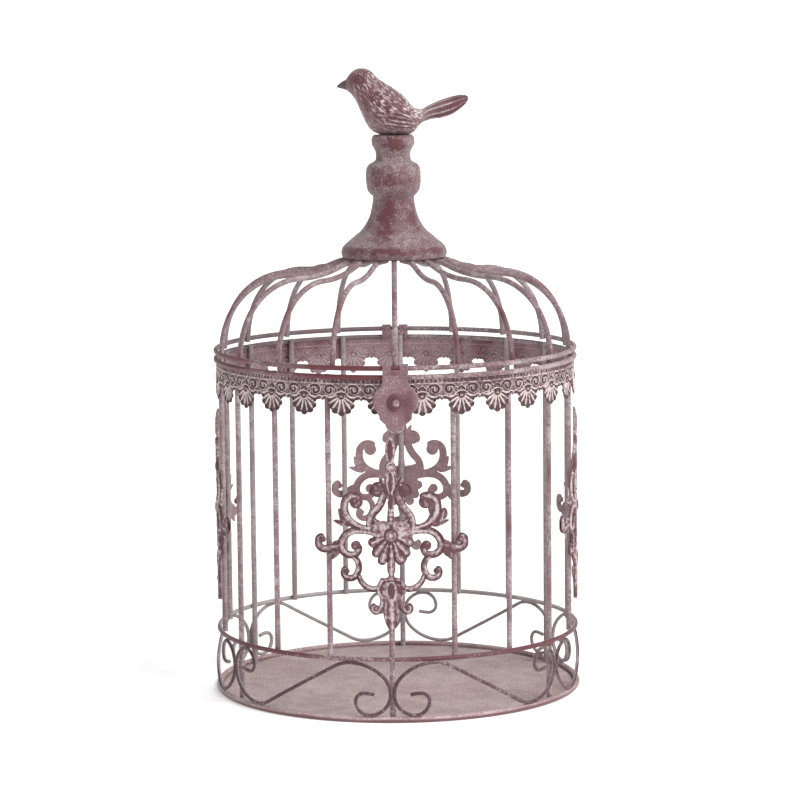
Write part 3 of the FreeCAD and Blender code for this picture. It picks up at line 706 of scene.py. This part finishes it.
# Scroll mounts: the same drawing as the model's, with the relief of the casting
MOUNT_TURN = -1.8
MOUNT_INNER = 111.7
MOUNT_WALL = 113.7
MOUNT_HEIGHT = 114.4
MOUNT_SPACING = 0.3
MOUNT_LOW = (-46.5, -61.5)
MOUNT_HIGH = (46.5, 63.6)
MOUNT_LEAST = 0.5
MOUNT_MOTTLE = 0.42
MOUNT_BACK_WORN = 0.5
# Width, height, paleness and line of each scroll arm
MOUNT_ARMS = (
    (4.9, 2.0, 0.24, ((10.6, 26.4), (8.0, 30.2), (4.2, 27.4), (5.6, 20.4), (9.8, 14.4), (12.6, 9.4),
                      (12.4, 3.0))),
    (4.8, 2.1, 0.24, ((19.6, 23.4), (24.8, 23.6), (28.2, 18.2), (27.6, 12.4), (23.8, 7.4), (19.4, 4.9),
                      (14.0, 3.8))),
    (4.6, 2.3, 0.22, ((7.6, 0.6), (14.6, 2.7), (21.6, 2.9), (28.4, -1.0), (30.6, -6.4), (28.6, -10.7),
                      (24.0, -12.2), (20.4, -10.6), (19.6, -7.6))),
    (4.6, 2.0, 0.14, ((30.0, -6.6), (35.7, -8.4), (40.6, -9.2), (44.0, -7.6), (44.6, -4.4), (44.2, -2.8),
                      (43.0, -1.8))),
    (4.0, 2.1, 0.22, ((22.3, -13.6), (19.8, -18.2), (20.8, -23.2), (24.8, -26.4), (28.4, -25.2),
                      (29.2, -23.2), (28.6, -21.0))),
    (3.6, 1.9, 0.24, ((19.6, -25.6), (16.8, -30.2), (11.7, -32.7), (7.8, -31.8), (5.8, -27.4))),
    (3.4, 2.2, 0.08, ((2.6, -27.2), (6.4, -29.2), (6.2, -36.0), (5.8, -42.4), (8.6, -46.6), (11.2, -46.0),
                      (11.0, -42.8))),
)
MOUNT_EYES = ((8.0, 27.0, 3.7), (20.9, 20.0, 3.9), (21.4, -6.4, 2.9), (9.4, -44.4, 1.9), (42.0, -3.4, 1.9),
              (27.4, -22.2, 1.8))
MOUNT_LEAVES = (((25.0, 5.4), (35.4, 8.6), 3.6), ((27.4, 5.0), (32.0, 16.0), 3.8),
                ((30.2, -6.0), (37.0, -15.8), 4.6), ((31.0, -5.0), (39.0, -12.6), 4.0),
                ((30.6, -4.0), (39.0, -8.6), 4.0))
MOUNT_CALYX = ((0.6, 22.0), (7.0, 36.4), 4.4)
MOUNT_ROOT = ((2.6, 1.6), (10.6, 10.0), 5.4)
MOUNT_PETALS = ((13.8, -5.4), (10.8, -12.8), (6.4, -17.9))
MOUNT_BUD = ((0.0, -22.6), (1.5, -24.4), (2.4, -26.2), (5.2, -27.6), (6.6, -31.4), (6.4, -36.6),
             (5.2, -41.0), (5.3, -45.2), (4.5, -49.4), (3.2, -54.6), (0.0, -59.6))
MOUNT_STEM = ((0.0, 62.6), (2.0, 58.0), (3.1, 52.0), (2.6, 47.0), (1.8, 44.2), (3.4, 41.6), (2.6, 38.8),
              (3.8, 34.0), (2.0, 27.0), (1.9, 16.0), (2.6, 7.0), (1.6, 4.0), (0.0, 2.0))


def whole_outline(side):
    """A closed outline from its right half."""
    right = arcs(side, 0.5)
    return np.concatenate([right, (right * (-1, 1))[::-1][1:-1]])


def draw_mount(across, up):
    """One casting: leaves behind, scroll arms with eyes, and the pieces of the middle over them."""
    mount = Drawing(abs(across), up)
    for root, tip, width in MOUNT_LEAVES:
        mount.spear(root, tip, width, 1.7)
    for width, height, pale, points in MOUNT_ARMS:
        mount.channel(points, width, height, pale)
    for middle, level, radius in MOUNT_EYES:
        mount.dome(middle, level, radius, radius, 1.4, 1.3, (0.0, 0.3))
    mount.spear(*MOUNT_CALYX, 2.2, worn=(0.85, 0.05))
    draw_bud(mount)
    draw_stem(mount)
    draw_fan(mount)
    return mount


def draw_bud(mount):
    """The drop at the foot, between its two curled leaves."""
    mount.swell(whole_outline(MOUNT_BUD), 1.7, 2.6, (0.1, 0.4))
    mount.spear((3.6, -40.0), (3.4, -54.0), 3.4, 1.9, worn=(0.1, 0.55))
    mount.dome(0.0, -34.4, 3.5, 7.2, 1.0, 1.5, (0.45, 0.75))
    mount.dome(0.0, -33.6, 2.2, 5.0, 0.7, 2.35, (0.2, 0.0))
    mount.spear((0.0, -37.0), (0.0, -60.0), 4.6, 1.2, 1.5, (0.15, 0.7))
    mount.dome(0.0, -26.2, 1.7, 1.8, 0.8, 1.5, (0.2, 0.7))


def draw_stem(mount):
    """The upright stem: a long drop, a ringed bead, a lozenge and a row of small beads."""
    mount.swell(whole_outline(MOUNT_STEM), 1.9, 1.9, (0.5, 0.3))
    mount.dome(0.0, 52.0, 2.7, 8.4, 0.6, 1.8, (0.45, 0.66))
    mount.dome(0.0, 51.4, 1.7, 6.4, 0.6, 2.15, (0.2, 0.0))
    mount.cup(0.0, 41.7, 3.1, 2.7, 0.3, 0.5)
    mount.dome(0.0, 41.3, 1.7, 1.6, 0.9, 1.9, (0.2, 0.75))
    mount.spear((0.0, 38.8), (0.0, 24.4), 4.2, 1.0, 1.7, (0.9, 0.1))
    mount.spear((0.0, 26.0), (0.0, 14.8), 3.4, 0.9, 1.6, (0.5, 0.0))
    for level in (15.2, 12.6, 10.0):
        mount.dome(0.0, level, 1.6, 1.4, 0.8, 1.7, (0.1, 0.9))


def draw_fan(mount):
    """The rosette with its fan of petals below and its root leaves above."""
    mount.dome(5.6, 3.4, 7.0, 5.4, 0.9, 1.3, (0.3, 0.62))
    mount.spear(*MOUNT_ROOT, 2.2, worn=(0.1, 0.7))
    mount.cup(5.3, 5.8, 2.1, 2.6, 0.4, 0.7)
    mount.dome(0.0, -5.0, 11.6, 11.5, 0.3, 1.1, (0.0, 0.06))
    for tip in MOUNT_PETALS:
        mount.lobe((0.0, 0.5), tip, 5.8, 2.4)
    mount.lobe((0.0, 0.5), (0.0, -21.0), 5.2, 2.5)
    mount.spear((0.0, -16.5), (0.0, -25.8), 5.0, 2.7, worn=(0.0, 0.8))
    mount.dome(0.0, 0.0, 4.4, 4.4, 0.6, 2.2, (0.0, 0.1))
    mount.cup(0.0, 0.0, 3.5, 3.3, 0.26, 0.55)
    mount.dome(0.0, 0.0, 2.1, 2.1, 1.2, 2.4, (0.15, 0.66))


def make_mounts(finish, back_finish):
    """The four castings, one on each side of the cage."""
    flat, heights, worn, faces, rims = cut_plate(draw_mount, MOUNT_LOW, MOUNT_HIGH, MOUNT_SPACING)
    angle = np.arcsin(np.clip(flat[:, 0] / MOUNT_WALL, -1, 1))
    front = round_cage(angle, MOUNT_INNER + np.maximum(heights, MOUNT_LEAST), flat[:, 1])
    back = round_cage(angle, MOUNT_INNER, flat[:, 1])
    places, shell = closed_plate(front, back, faces, rims)
    places[:, 2] += MOUNT_HEIGHT
    worn = worn + MOUNT_MOTTLE * ripples(front, 0.55)
    worn = np.concatenate([worn, np.full(len(worn), MOUNT_BACK_WORN)])
    first = mesh_object("ornament_front_casting", places, shell, worn)
    finish_plate(first, faces, rims, finish, back_finish)
    for order, side in enumerate(("front", "right", "back", "left")):
        mount = first
        if order:
            mount = bpy.data.objects.new(f"ornament_{side}_casting", first.data)
            bpy.context.scene.collection.objects.link(mount)
        mount.matrix_world = Matrix.Rotation(math.radians(order * 90 + MOUNT_TURN), 4, "Z")
        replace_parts(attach(mount, "cage"), f"ornament_{side}")


# Hasp: a stamped leaf over the sheet, with a ringed knob
HASP_BACK = 114.40
HASP_LOW = (-14.1, 176.3)
HASP_HIGH = (14.1, 213.0)
HASP_SPACING = 0.25
HASP_BACK_WORN = 0.4
HASP_RIPPLES = 16
HASP_SIDE = ((0.0, 211.4), (4.4, 211.5), (7.5, 210.9), (7.85, 209.4), (7.8, 207.6), (9.0, 204.4),
             (11.6, 202.0), (13.35, 197.2), (12.2, 190.9), (10.4, 188.6), (9.6, 185.9), (8.3, 183.3),
             (6.2, 181.9), (5.3, 179.8), (3.9, 177.5), (2.0, 176.7), (0.0, 176.5))
HASP_KNOB = 194.8


def draw_hasp(across, up):
    """A leaf with a rippled edge, dished round its knob, with painted shade in the dish and round the knob's
    foot, and the knob with a painted highlight on its lower right.
    """
    hasp = Drawing(across, up)
    inside = hasp.within(whole_outline(HASP_SIDE))
    far = np.hypot(across, up - HASP_KNOB)
    way = np.arctan2(across, HASP_KNOB - up)
    ripple = np.cos(way * HASP_RIPPLES) * soft_step(2.6, 0.0, inside) * soft_step(200.0, 196.0, up)
    edge = soft_step(0.0, 0.8, inside)
    dish = hump(far, 4.2, 1.6)
    rubbed = hump(np.hypot((across - 6.0) / 9.0, (up - 192.0) / 11.0), 0.0, 1.0)
    # The dish's darker wear is painted shade round the knob.
    worn = 0.46 + 0.05 * ripple - 0.22 * dish - 0.14 * rubbed + 0.1 * soft_step(187.0, 178.0, up)
    hasp.lay(inside + 0.22 * ripple, 0.6 + 0.4 * edge + 0.2 * ripple - 0.08 * dish, worn)
    # The knob: its domes' dark edges are a ring of painted shade round its foot, and the small third dome on
    # its lower right is a painted highlight.
    hasp.dome(0.0, HASP_KNOB, 4.4, 4.4, 0.4, 1.6, (-0.3, -0.1))
    hasp.dome(0.0, HASP_KNOB, 2.9, 2.9, 2.0, 1.8, (-0.2, 0.66))
    hasp.dome(0.8, HASP_KNOB - 0.8, 1.2, 1.2, 0.4, 3.3, (0.6, 1.2))
    hasp.raised = np.where(far > 3.7, np.maximum(hasp.raised, 0.34), hasp.raised)
    return hasp


def make_hasp(finish):
    """The stamped leaf and its knob in one plate with a flat back."""
    flat, heights, worn, faces, rims = cut_plate(draw_hasp, HASP_LOW, HASP_HIGH, HASP_SPACING)
    front = np.stack([flat[:, 0], -HASP_BACK - heights, flat[:, 1]], 1)
    back = np.stack([flat[:, 0], np.full(len(flat), -HASP_BACK), flat[:, 1]], 1)
    places, shell = closed_plate(front, back, faces, rims)
    worn = np.concatenate([worn, np.full(len(worn), HASP_BACK_WORN)])
    leaf = mesh_object("hasp_leaf", places, shell, worn)
    leaf.data.materials.append(finish)
    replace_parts(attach(leaf, "hasp"), "hasp_knob")


# Forms in rings
def curve_through(places, values, at):
    """A smooth line through values at given places."""
    slopes = np.gradient(values, places)
    index = np.clip(np.searchsorted(places, at) - 1, 0, len(places) - 2)
    width = places[index + 1] - places[index]
    share = (at - places[index]) / width
    first = (1 + 2 * share) * (1 - share) ** 2
    return (first * values[index] + share * (1 - share) ** 2 * width * slopes[index]
            + (1 - first) * values[index + 1] - share ** 2 * (1 - share) * width * slopes[index + 1])


def ring_walls(rings, sides):
    """The numbers of the points on each ring, those next to them, and the faces between the rings."""
    number = np.arange(rings * sides).reshape(rings, sides)
    after = np.roll(number, -1, 1)
    walls = np.stack([number[:-1], after[:-1], after[1:], number[1:]], -1).reshape(-1, 4)
    return number, after, walls.tolist()


# Finial: radius and height from the bell's foot up to the collar
FINIAL_CURVE = ((32.4, 272.7), (33.1, 275.0), (32.2, 278.3), (26.8, 283.6), (19.6, 290.0), (15.6, 296.8),
                (13.7, 303.4), (13.0, 307.6), (13.1, 310.6), (14.5, 311.8), (15.6, 313.2), (17.0, 318.6),
                (17.1, 323.5), (17.0, 326.4), (16.4, 328.6), (15.4, 330.2), (13.2, 331.4), (11.3, 332.6),
                (10.8, 334.6), (11.0, 338.2), (12.0, 340.4), (13.3, 342.8), (13.4, 344.8), (13.1, 347.0),
                (12.0, 348.5))
FINIAL_BOWL = ((30.4, 274.3), (31.3, 273.2))
FINIAL_TOP = 348.5
FINIAL_RINGS = 200
FINIAL_SIDES = 200
FINIAL_BULB = (313.0, 329.0)
# Turn, height, width, length and depth of the rubbed places on one third of the finial
FINIAL_RUBS = ((0.05, 343.4, 0.6, 5.4, 0.36), (-0.35, 323.0, 0.8, 7.5, 0.3), (0.3, 320.5, 0.7, 4.0, 0.16),
               (-0.35, 295.0, 0.5, 14.0, 0.26), (0.84, 296.0, 0.4, 7.5, 0.26), (-0.2, 307.0, 0.5, 4.5, 0.2))
FINIAL_LIP = 277.9


def finial_wear(places, turn, height, lumps):
    """How worn the finial is: bare in ragged patches and in a band on its lip, chalky on its lumps."""
    ragged = ripples(places, 0.3) + ripples(places, 0.8)
    bare = 0.3 * hump(height + 1.2 * ragged, FINIAL_LIP, 2.4) * (1 + ragged)
    third = 2 * math.pi / 3
    for middle, level, wide, tall, depth in FINIAL_RUBS:
        gap = (turn - middle + third / 2) % third - third / 2
        far = np.hypot(gap / wide, (height - level) / tall) + 0.6 * ragged
        bare = np.maximum(bare, depth * soft_step(1.1, 0.2, far))
    return 0.52 - bare + 0.9 * lumps + 0.16 * ripples(places, 1.7)


def finial_line():
    """Radius and height from the bowl underneath to the edge of the top."""
    curve = np.array(FINIAL_CURVE)
    reach = np.concatenate([[0.0], np.hypot(*np.diff(curve, axis=0).T).cumsum()])
    steps = np.linspace(0.0, reach[-1], FINIAL_RINGS)
    profile = np.stack([curve_through(reach, curve[:, column], steps) for column in (0, 1)], 1)
    return np.concatenate([FINIAL_BOWL, profile])


def make_finial(finish):
    """The turned finial with its lumpy cast skin and fine turned rings on the bulb."""
    line = finial_line()
    turn, radius = np.meshgrid(np.linspace(0, 2 * math.pi, FINIAL_SIDES, endpoint=False), line[:, 0])
    height = np.repeat(line[:, 1:], FINIAL_SIDES, 1)
    around = np.stack([np.sin(turn), -np.cos(turn), 0 * turn], -1)
    places = around * radius[..., None] + np.stack([0 * turn, 0 * turn, height], -1)
    lumps = 0.12 * ripples(places, 1.1) + 0.16 * ripples(places, 0.22)
    low, high = FINIAL_BULB
    on_bulb = soft_step(low, low + 2, height) * soft_step(high, high - 2, height)
    wear = finial_wear(places, turn, height, lumps)
    slope = np.gradient(line, axis=0)
    out = np.stack([slope[:, 1], -slope[:, 0]], 1) / np.hypot(*slope.T)[:, None]
    out[:len(FINIAL_BOWL)] = 0.0
    raised = (lumps + 0.06 * np.sin(height * 2.6) * on_bulb)[..., None]
    places += raised * (around * out[:, None, :1] + np.array((0, 0, 1)) * out[:, None, 1:])
    number, after, walls = ring_walls(*turn.shape)
    under = np.stack([after[0], number[0], np.full(FINIAL_SIDES, turn.size)], 1)
    cap = np.stack([number[-1], after[-1], np.full(FINIAL_SIDES, turn.size + 1)], 1)
    middles = [(0.0, 0.0, FINIAL_BOWL[0][1]), (0.0, 0.0, FINIAL_TOP)]
    finial = mesh_object("finial_turning", np.concatenate([places.reshape(-1, 3), middles]),
                         [*walls, *under.tolist(), *cap.tolist()],
                         np.concatenate([wear.ravel(), [0.5, 0.5]]), 60)
    finial.data.materials.append(finish)
    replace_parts(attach(finial, "lid"), "finial")


# Bird: place along its length, lowest and highest point and half width
BIRD_SECTIONS = ((-34.6, 378.3, 379.3, 0.5), (-32.6, 377.8, 381.0, 1.4), (-30.6, 377.2, 382.4, 2.3),
                 (-28.9, 376.6, 383.3, 3.0), (-27.7, 375.8, 385.2, 4.8), (-25.6, 373.8, 387.6, 7.0),
                 (-22.6, 369.4, 389.5, 8.9), (-19.6, 362.4, 390.0, 10.4), (-15.2, 353.6, 389.4, 12.0),
                 (-8.6, 349.0, 383.4, 13.6), (0.2, 348.2, 377.7, 14.0), (7.5, 348.4, 372.0, 12.3),
                 (13.0, 350.2, 365.8, 9.0), (17.4, 355.2, 364.4, 6.4), (22.5, 358.0, 366.4, 5.8),
                 (30.4, 359.2, 369.7, 6.2), (38.4, 362.2, 372.0, 5.8), (43.0, 365.6, 372.6, 4.4),
                 (45.6, 368.2, 372.3, 2.6), (46.8, 370.2, 371.6, 0.6))
BIRD_BEAK = -28.9
BIRD_EYE = (-21.0, 383.4)
BIRD_EYE_RADIUS = 1.5
BIRD_SEAT = 13.6
# Where the bird's head, neck, rump, tail and tail end begin and are full
BIRD_HEAD = (-30.0, -20.0)
BIRD_NECK = (-25.0, -20.0)
BIRD_RUMP = (19.0, 14.0)
BIRD_TAIL = (17.0, 23.0)
BIRD_TAIL_END = (30.0, 46.0)
BIRD_TAIL_GROOVES = 9
BIRD_RINGS = 300
BIRD_SIDES = 220
FEATHER_CENTRE = (22.0, 400.0)
WING_EDGE = ((-14.0, 369.8), (-13.6, 364.7), (-9.5, 359.5), (-5.0, 355.4), (0.6, 351.7), (7.8, 350.6),
             (13.0, 352.0), (15.6, 353.6), (17.2, 356.1), (13.1, 361.1), (8.1, 366.3), (0.9, 373.1),
             (-3.1, 376.2), (-9.5, 375.0), (-14.0, 369.8))
WING_PRIMARIES = (((-1.7, 364.4), (4.5, 362.4), (12.0, 358.9)), ((-4.9, 361.9), (3.8, 360.1), (12.6, 357.6)),
                  ((-6.4, 359.6), (3.0, 357.7), (12.6, 356.1)), ((-4.9, 357.1), (3.8, 355.5), (12.2, 354.7)),
                  ((-2.9, 354.7), (4.5, 353.5), (11.0, 353.2)))


def plumage(x, y, z):
    """Short strokes that follow the feathers from the crown down to the wing tip."""
    far = np.hypot(x - FEATHER_CENTRE[0], z - FEATHER_CENTRE[1])
    way = np.arctan2(z - FEATHER_CENTRE[1], x - FEATHER_CENTRE[0]) * 45.0
    fine = ripples(np.stack([0.32 * way, 1.3 * far, 0.6 * y], -1), 1.0)
    broad = ripples(np.stack([0.16 * way, 0.5 * far, 0.3 * y], -1), 1.0)
    return fine + 0.35 * broad


def draw_wing(across, up, strokes):
    """The wing with its strokes and long feathers, and how far inside its edge each place is."""
    wing = Drawing(across, up)
    inside = wing.within(arcs(WING_EDGE, 0.8))
    lift = 0.9 * soft_step(0.0, 1.6, inside)
    wing.lay(inside, lift + 0.35 * strokes * soft_step(0.2, 1.2, inside),
             0.4 + 0.5 * strokes - 0.3 * hump(inside, 0.2, 0.6))
    for line in WING_PRIMARIES:
        wing.ridge(line, 2.0, 0.8, 0.7, (-0.1, 0.56), 1.5)
    wing.height = np.where(inside > 0, wing.height, 0)
    wing.raised = np.where(inside > 0, wing.raised + 0.3 * strokes, 0.5)
    return wing, inside


def bird_body():
    """The smooth body in rings along its length, the way out of it, and the turn on its rings."""
    table = np.array(BIRD_SECTIONS)
    share = np.linspace(0, 1, BIRD_RINGS)
    along = between(table[[0, -1], 0], share)
    low, high, half = (curve_through(table[:, 0], table[:, column], along) for column in (1, 2, 3))
    turn = np.linspace(0, 2 * math.pi, BIRD_SIDES, endpoint=False)
    x = np.repeat(along[:, None], BIRD_SIDES, 1)
    y = np.maximum(half, 0.1)[:, None] * np.cos(turn)
    z = ((low + high) / 2)[:, None] + ((high - low) / 2)[:, None] * np.sin(turn)
    body = np.stack([x, y, z], -1)
    ahead = np.gradient(body, axis=0)
    around = np.roll(body, -1, 1) - np.roll(body, 1, 1)
    out = np.cross(ahead, around)
    out *= -1 / np.maximum(np.linalg.norm(out, axis=-1, keepdims=True), 1e-9)
    out *= np.sign((out * (body - body.mean(1, keepdims=True))).sum(-1, keepdims=True))
    return body, out, turn


def bird_relief(body, turn):
    """How high the plumage, the grooves of the tail and the eyes stand, and how worn each place is."""
    x, y, z = np.moveaxis(body, -1, 0)
    strokes = plumage(x, y, z)
    wing, inside = draw_wing(x, z, strokes)
    back = soft_step(0.3, -0.6, inside) * soft_step(-0.2, 0.3, np.sin(turn))[None, :]
    back = back * soft_step(*BIRD_NECK, x) * soft_step(*BIRD_RUMP, x)
    smooth = 0.43 + 0.3 * strokes * soft_step(*BIRD_HEAD, x)
    worn = np.where(inside > 0, wing.raised, smooth) * (1 - back) + back * (0.48 + 0.55 * strokes)
    tail = soft_step(*BIRD_TAIL, x)
    grooves = np.cos(turn * BIRD_TAIL_GROOVES)[None, :]
    tail_worn = 0.3 + 0.32 * soft_step(0.4, 1.0, grooves) - 0.14 * soft_step(*BIRD_TAIL_END, x)
    worn = worn * (1 - tail) + tail * tail_worn
    eye = np.hypot(x - BIRD_EYE[0], z - BIRD_EYE[1])
    face = hump(eye, 0.0, 3.8)
    worn = worn * (1 - face) + 0.08 * face
    lift = wing.height + back * 0.35 * strokes + tail * 0.45 * grooves
    lift = lift + 0.8 * np.sqrt(np.clip(1 - (eye / BIRD_EYE_RADIUS) ** 2, 0, 1)) - 0.35 * hump(eye, 2.1, 0.6)
    return lift, worn


def make_bird(finish, beak_finish):
    """The cast bird, flattened where it sits on the finial."""
    body, out, turn = bird_body()
    lift, worn = bird_relief(body, turn)
    places = (body + out * lift[..., None]).reshape(-1, 3)
    seated = np.hypot(places[:, 0], places[:, 1]) < BIRD_SEAT
    places[:, 2] = np.maximum(places[:, 2], np.where(seated, FINIAL_TOP, 0))
    number, _, walls = ring_walls(BIRD_RINGS, BIRD_SIDES)
    faces = walls + [number[0][::-1].tolist(), number[-1].tolist()]
    bird = mesh_object("bird_casting", places, faces, worn.ravel(), 70)
    bird.data.materials.append(finish)
    bird.data.materials.append(beak_finish)
    for face in bird.data.polygons:
        face.material_index = int(face.center.x < BIRD_BEAK * MM)
    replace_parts(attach(bird, "lid"), "bird")


# Finishes of the pieces: the wear of each, with painted shade on the tray and painted shade and a painted
# highlight on the hasp, its bump and sheen, and the values of its worn paint
FINISHES = {
    # Inside colours are grey primer on the faces towards the middle, and also painted reflection: the pale
    # grey of the wires' grazing edges and far sides.
    "wire_paint": dict(
        sheen=0.1, Paint=srgb(138, 111, 115), Chalk=srgb(193, 181, 181), Chalk_Share=0.36,
        Undercoat_Share=0.24, Inside=srgb(158, 147, 149), Inside_Share=0.9, Speckle=1.0),
    "rib_paint": dict(
        sheen=0.1, Paint=srgb(130, 101, 106), Chalk=srgb(188, 175, 176), Chalk_Share=0.32,
        Undercoat_Share=0.28, Inside=srgb(147, 134, 137), Inside_Share=0.9, Speckle=1.1),
    "scroll_paint": dict(
        sheen=0.1, Paint=srgb(101, 75, 79), Chalk=GREY_CHALK, Undercoat=DARK_WINE, Chalk_Share=0.24,
        Undercoat_Share=0.42, Inside=srgb(173, 164, 166), Inside_Share=0.95),
    "gallery_paint": dict(
        sheen=0.1, Paint=srgb(124, 98, 101), Chalk=srgb(194, 184, 183), Chalk_Share=0.22,
        Undercoat_Share=0.46, Inside=srgb(186, 178, 179), Inside_Share=0.98, Patches=16.0),
    "hoop_paint": dict(
        wear=hoop_left_right_tone, sheen=0.1, Paint=srgb(131, 103, 107), Chalk=srgb(186, 174, 173), Undercoat=RED_WINE,
        Chalk_Share=0.3, Undercoat_Share=0.36, Inside=srgb(129, 115, 117), Inside_Share=0.9, Patches=14.0),
    "tray_paint": dict(
        wear=tray_wear_and_painted_shade, bump=0.8, Paint=srgb(174, 143, 145), Undercoat=srgb(96, 58, 63), Chalk_Share=0.4,
        Undercoat_Share=0.2, Patches=14.0, Grain=850.0, Speckle=2.2),
    "sheet_paint": dict(Paint=srgb(134, 104, 109), Chalk_Share=0.25, Undercoat_Share=0.28),
    "screw_steel": dict(
        Paint=srgb(140, 138, 136), Chalk=srgb(176, 174, 172), Undercoat=srgb(92, 84, 80)),
    "lace_paint": dict(
        wear=raised_wear_and_painted_light, sheen=0.1, Paint=srgb(134, 106, 110), Chalk=PALE_CHALK,
        Undercoat=srgb(60, 35, 39), Chalk_Share=0.28, Undercoat_Share=0.32, Speckle=1.1),
    "mount_paint": dict(
        wear=raised_wear_and_painted_light, Paint=srgb(149, 123, 127), Chalk=srgb(204, 190, 190), Undercoat=srgb(82, 40, 48),
        Chalk_Share=0.26, Undercoat_Share=0.26, Speckle=1.2),
    "back_paint": dict(
        wear=raised_wear_and_painted_light, sheen=0.1, Paint=srgb(156, 128, 132), Chalk=srgb(190, 171, 173),
        Chalk_Share=0.26, Undercoat_Share=0.22, Speckle=0.5),
    "casting_paint": dict(
        wear=raised_wear_and_painted_light, bump=1.0, sheen=0.35, Paint=srgb(120, 91, 95), Chalk=srgb(178, 160, 160),
        Undercoat=srgb(94, 44, 53), Chalk_Share=0.24, Undercoat_Share=0.26, Grain=1200.0, Speckle=2.6),
    "bird_paint": dict(
        wear=raised_wear_and_painted_light, sheen=0.35, Paint=srgb(132, 103, 106), Chalk=srgb(214, 198, 197),
        Undercoat=srgb(90, 46, 54), Chalk_Share=0.3, Undercoat_Share=0.26, Grain=1000.0, Speckle=1.0),
    "beak_paint": dict(
        wear=raised_wear_and_painted_light, sheen=0.3, Paint=srgb(98, 88, 88), Chalk=GREY, Undercoat=srgb(62, 50, 52),
        Chalk_Share=0.2, Undercoat_Share=0.3, Grain=1000.0),
    "hasp_paint": dict(
        wear=raised_wear_and_painted_light, bump=0.8, Paint=srgb(137, 106, 112), Chalk=srgb(182, 163, 166),
        Undercoat=srgb(92, 46, 55), Chalk_Share=0.24, Undercoat_Share=0.24, Patches=60.0, Grain=900.0,
        Speckle=2.6),
}
# The model's own pieces that are not plain wire
NODE_FINISHES = {"dome_rib": "rib_paint", "s_scroll": "scroll_paint", "gallery_ring": "gallery_paint",
                 "lid_ring": "hoop_paint", "body_ring": "hoop_paint", "base_tray": "tray_paint",
                 "hinge_strap": "sheet_paint", "hasp_plate": "sheet_paint", "hub_disc": "sheet_paint",
                 "finial_screw": "screw_steel", "bird_pin": "screw_steel"}


def dress_model(finishes):
    """Gives the model's own pieces their finishes."""
    for name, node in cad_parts.items():
        kind = name.rstrip("0123456789").rstrip("_")
        for slot in node.material_slots:
            slot.material = finishes[NODE_FINISHES.get(kind, "wire_paint")]


add_camera()
add_studio()
add_floor().data.materials.append(make_floor_finish())
worn_paint = make_worn_paint()
finishes = {name: paint(name, worn_paint, **values) for name, values in FINISHES.items()}
dress_model(finishes)
make_lace(finishes["lace_paint"], finishes["back_paint"])
make_mounts(finishes["mount_paint"], finishes["back_paint"])
make_hasp(finishes["hasp_paint"])
make_finial(finishes["casting_paint"])
make_bird(finishes["bird_paint"], finishes["beak_paint"])
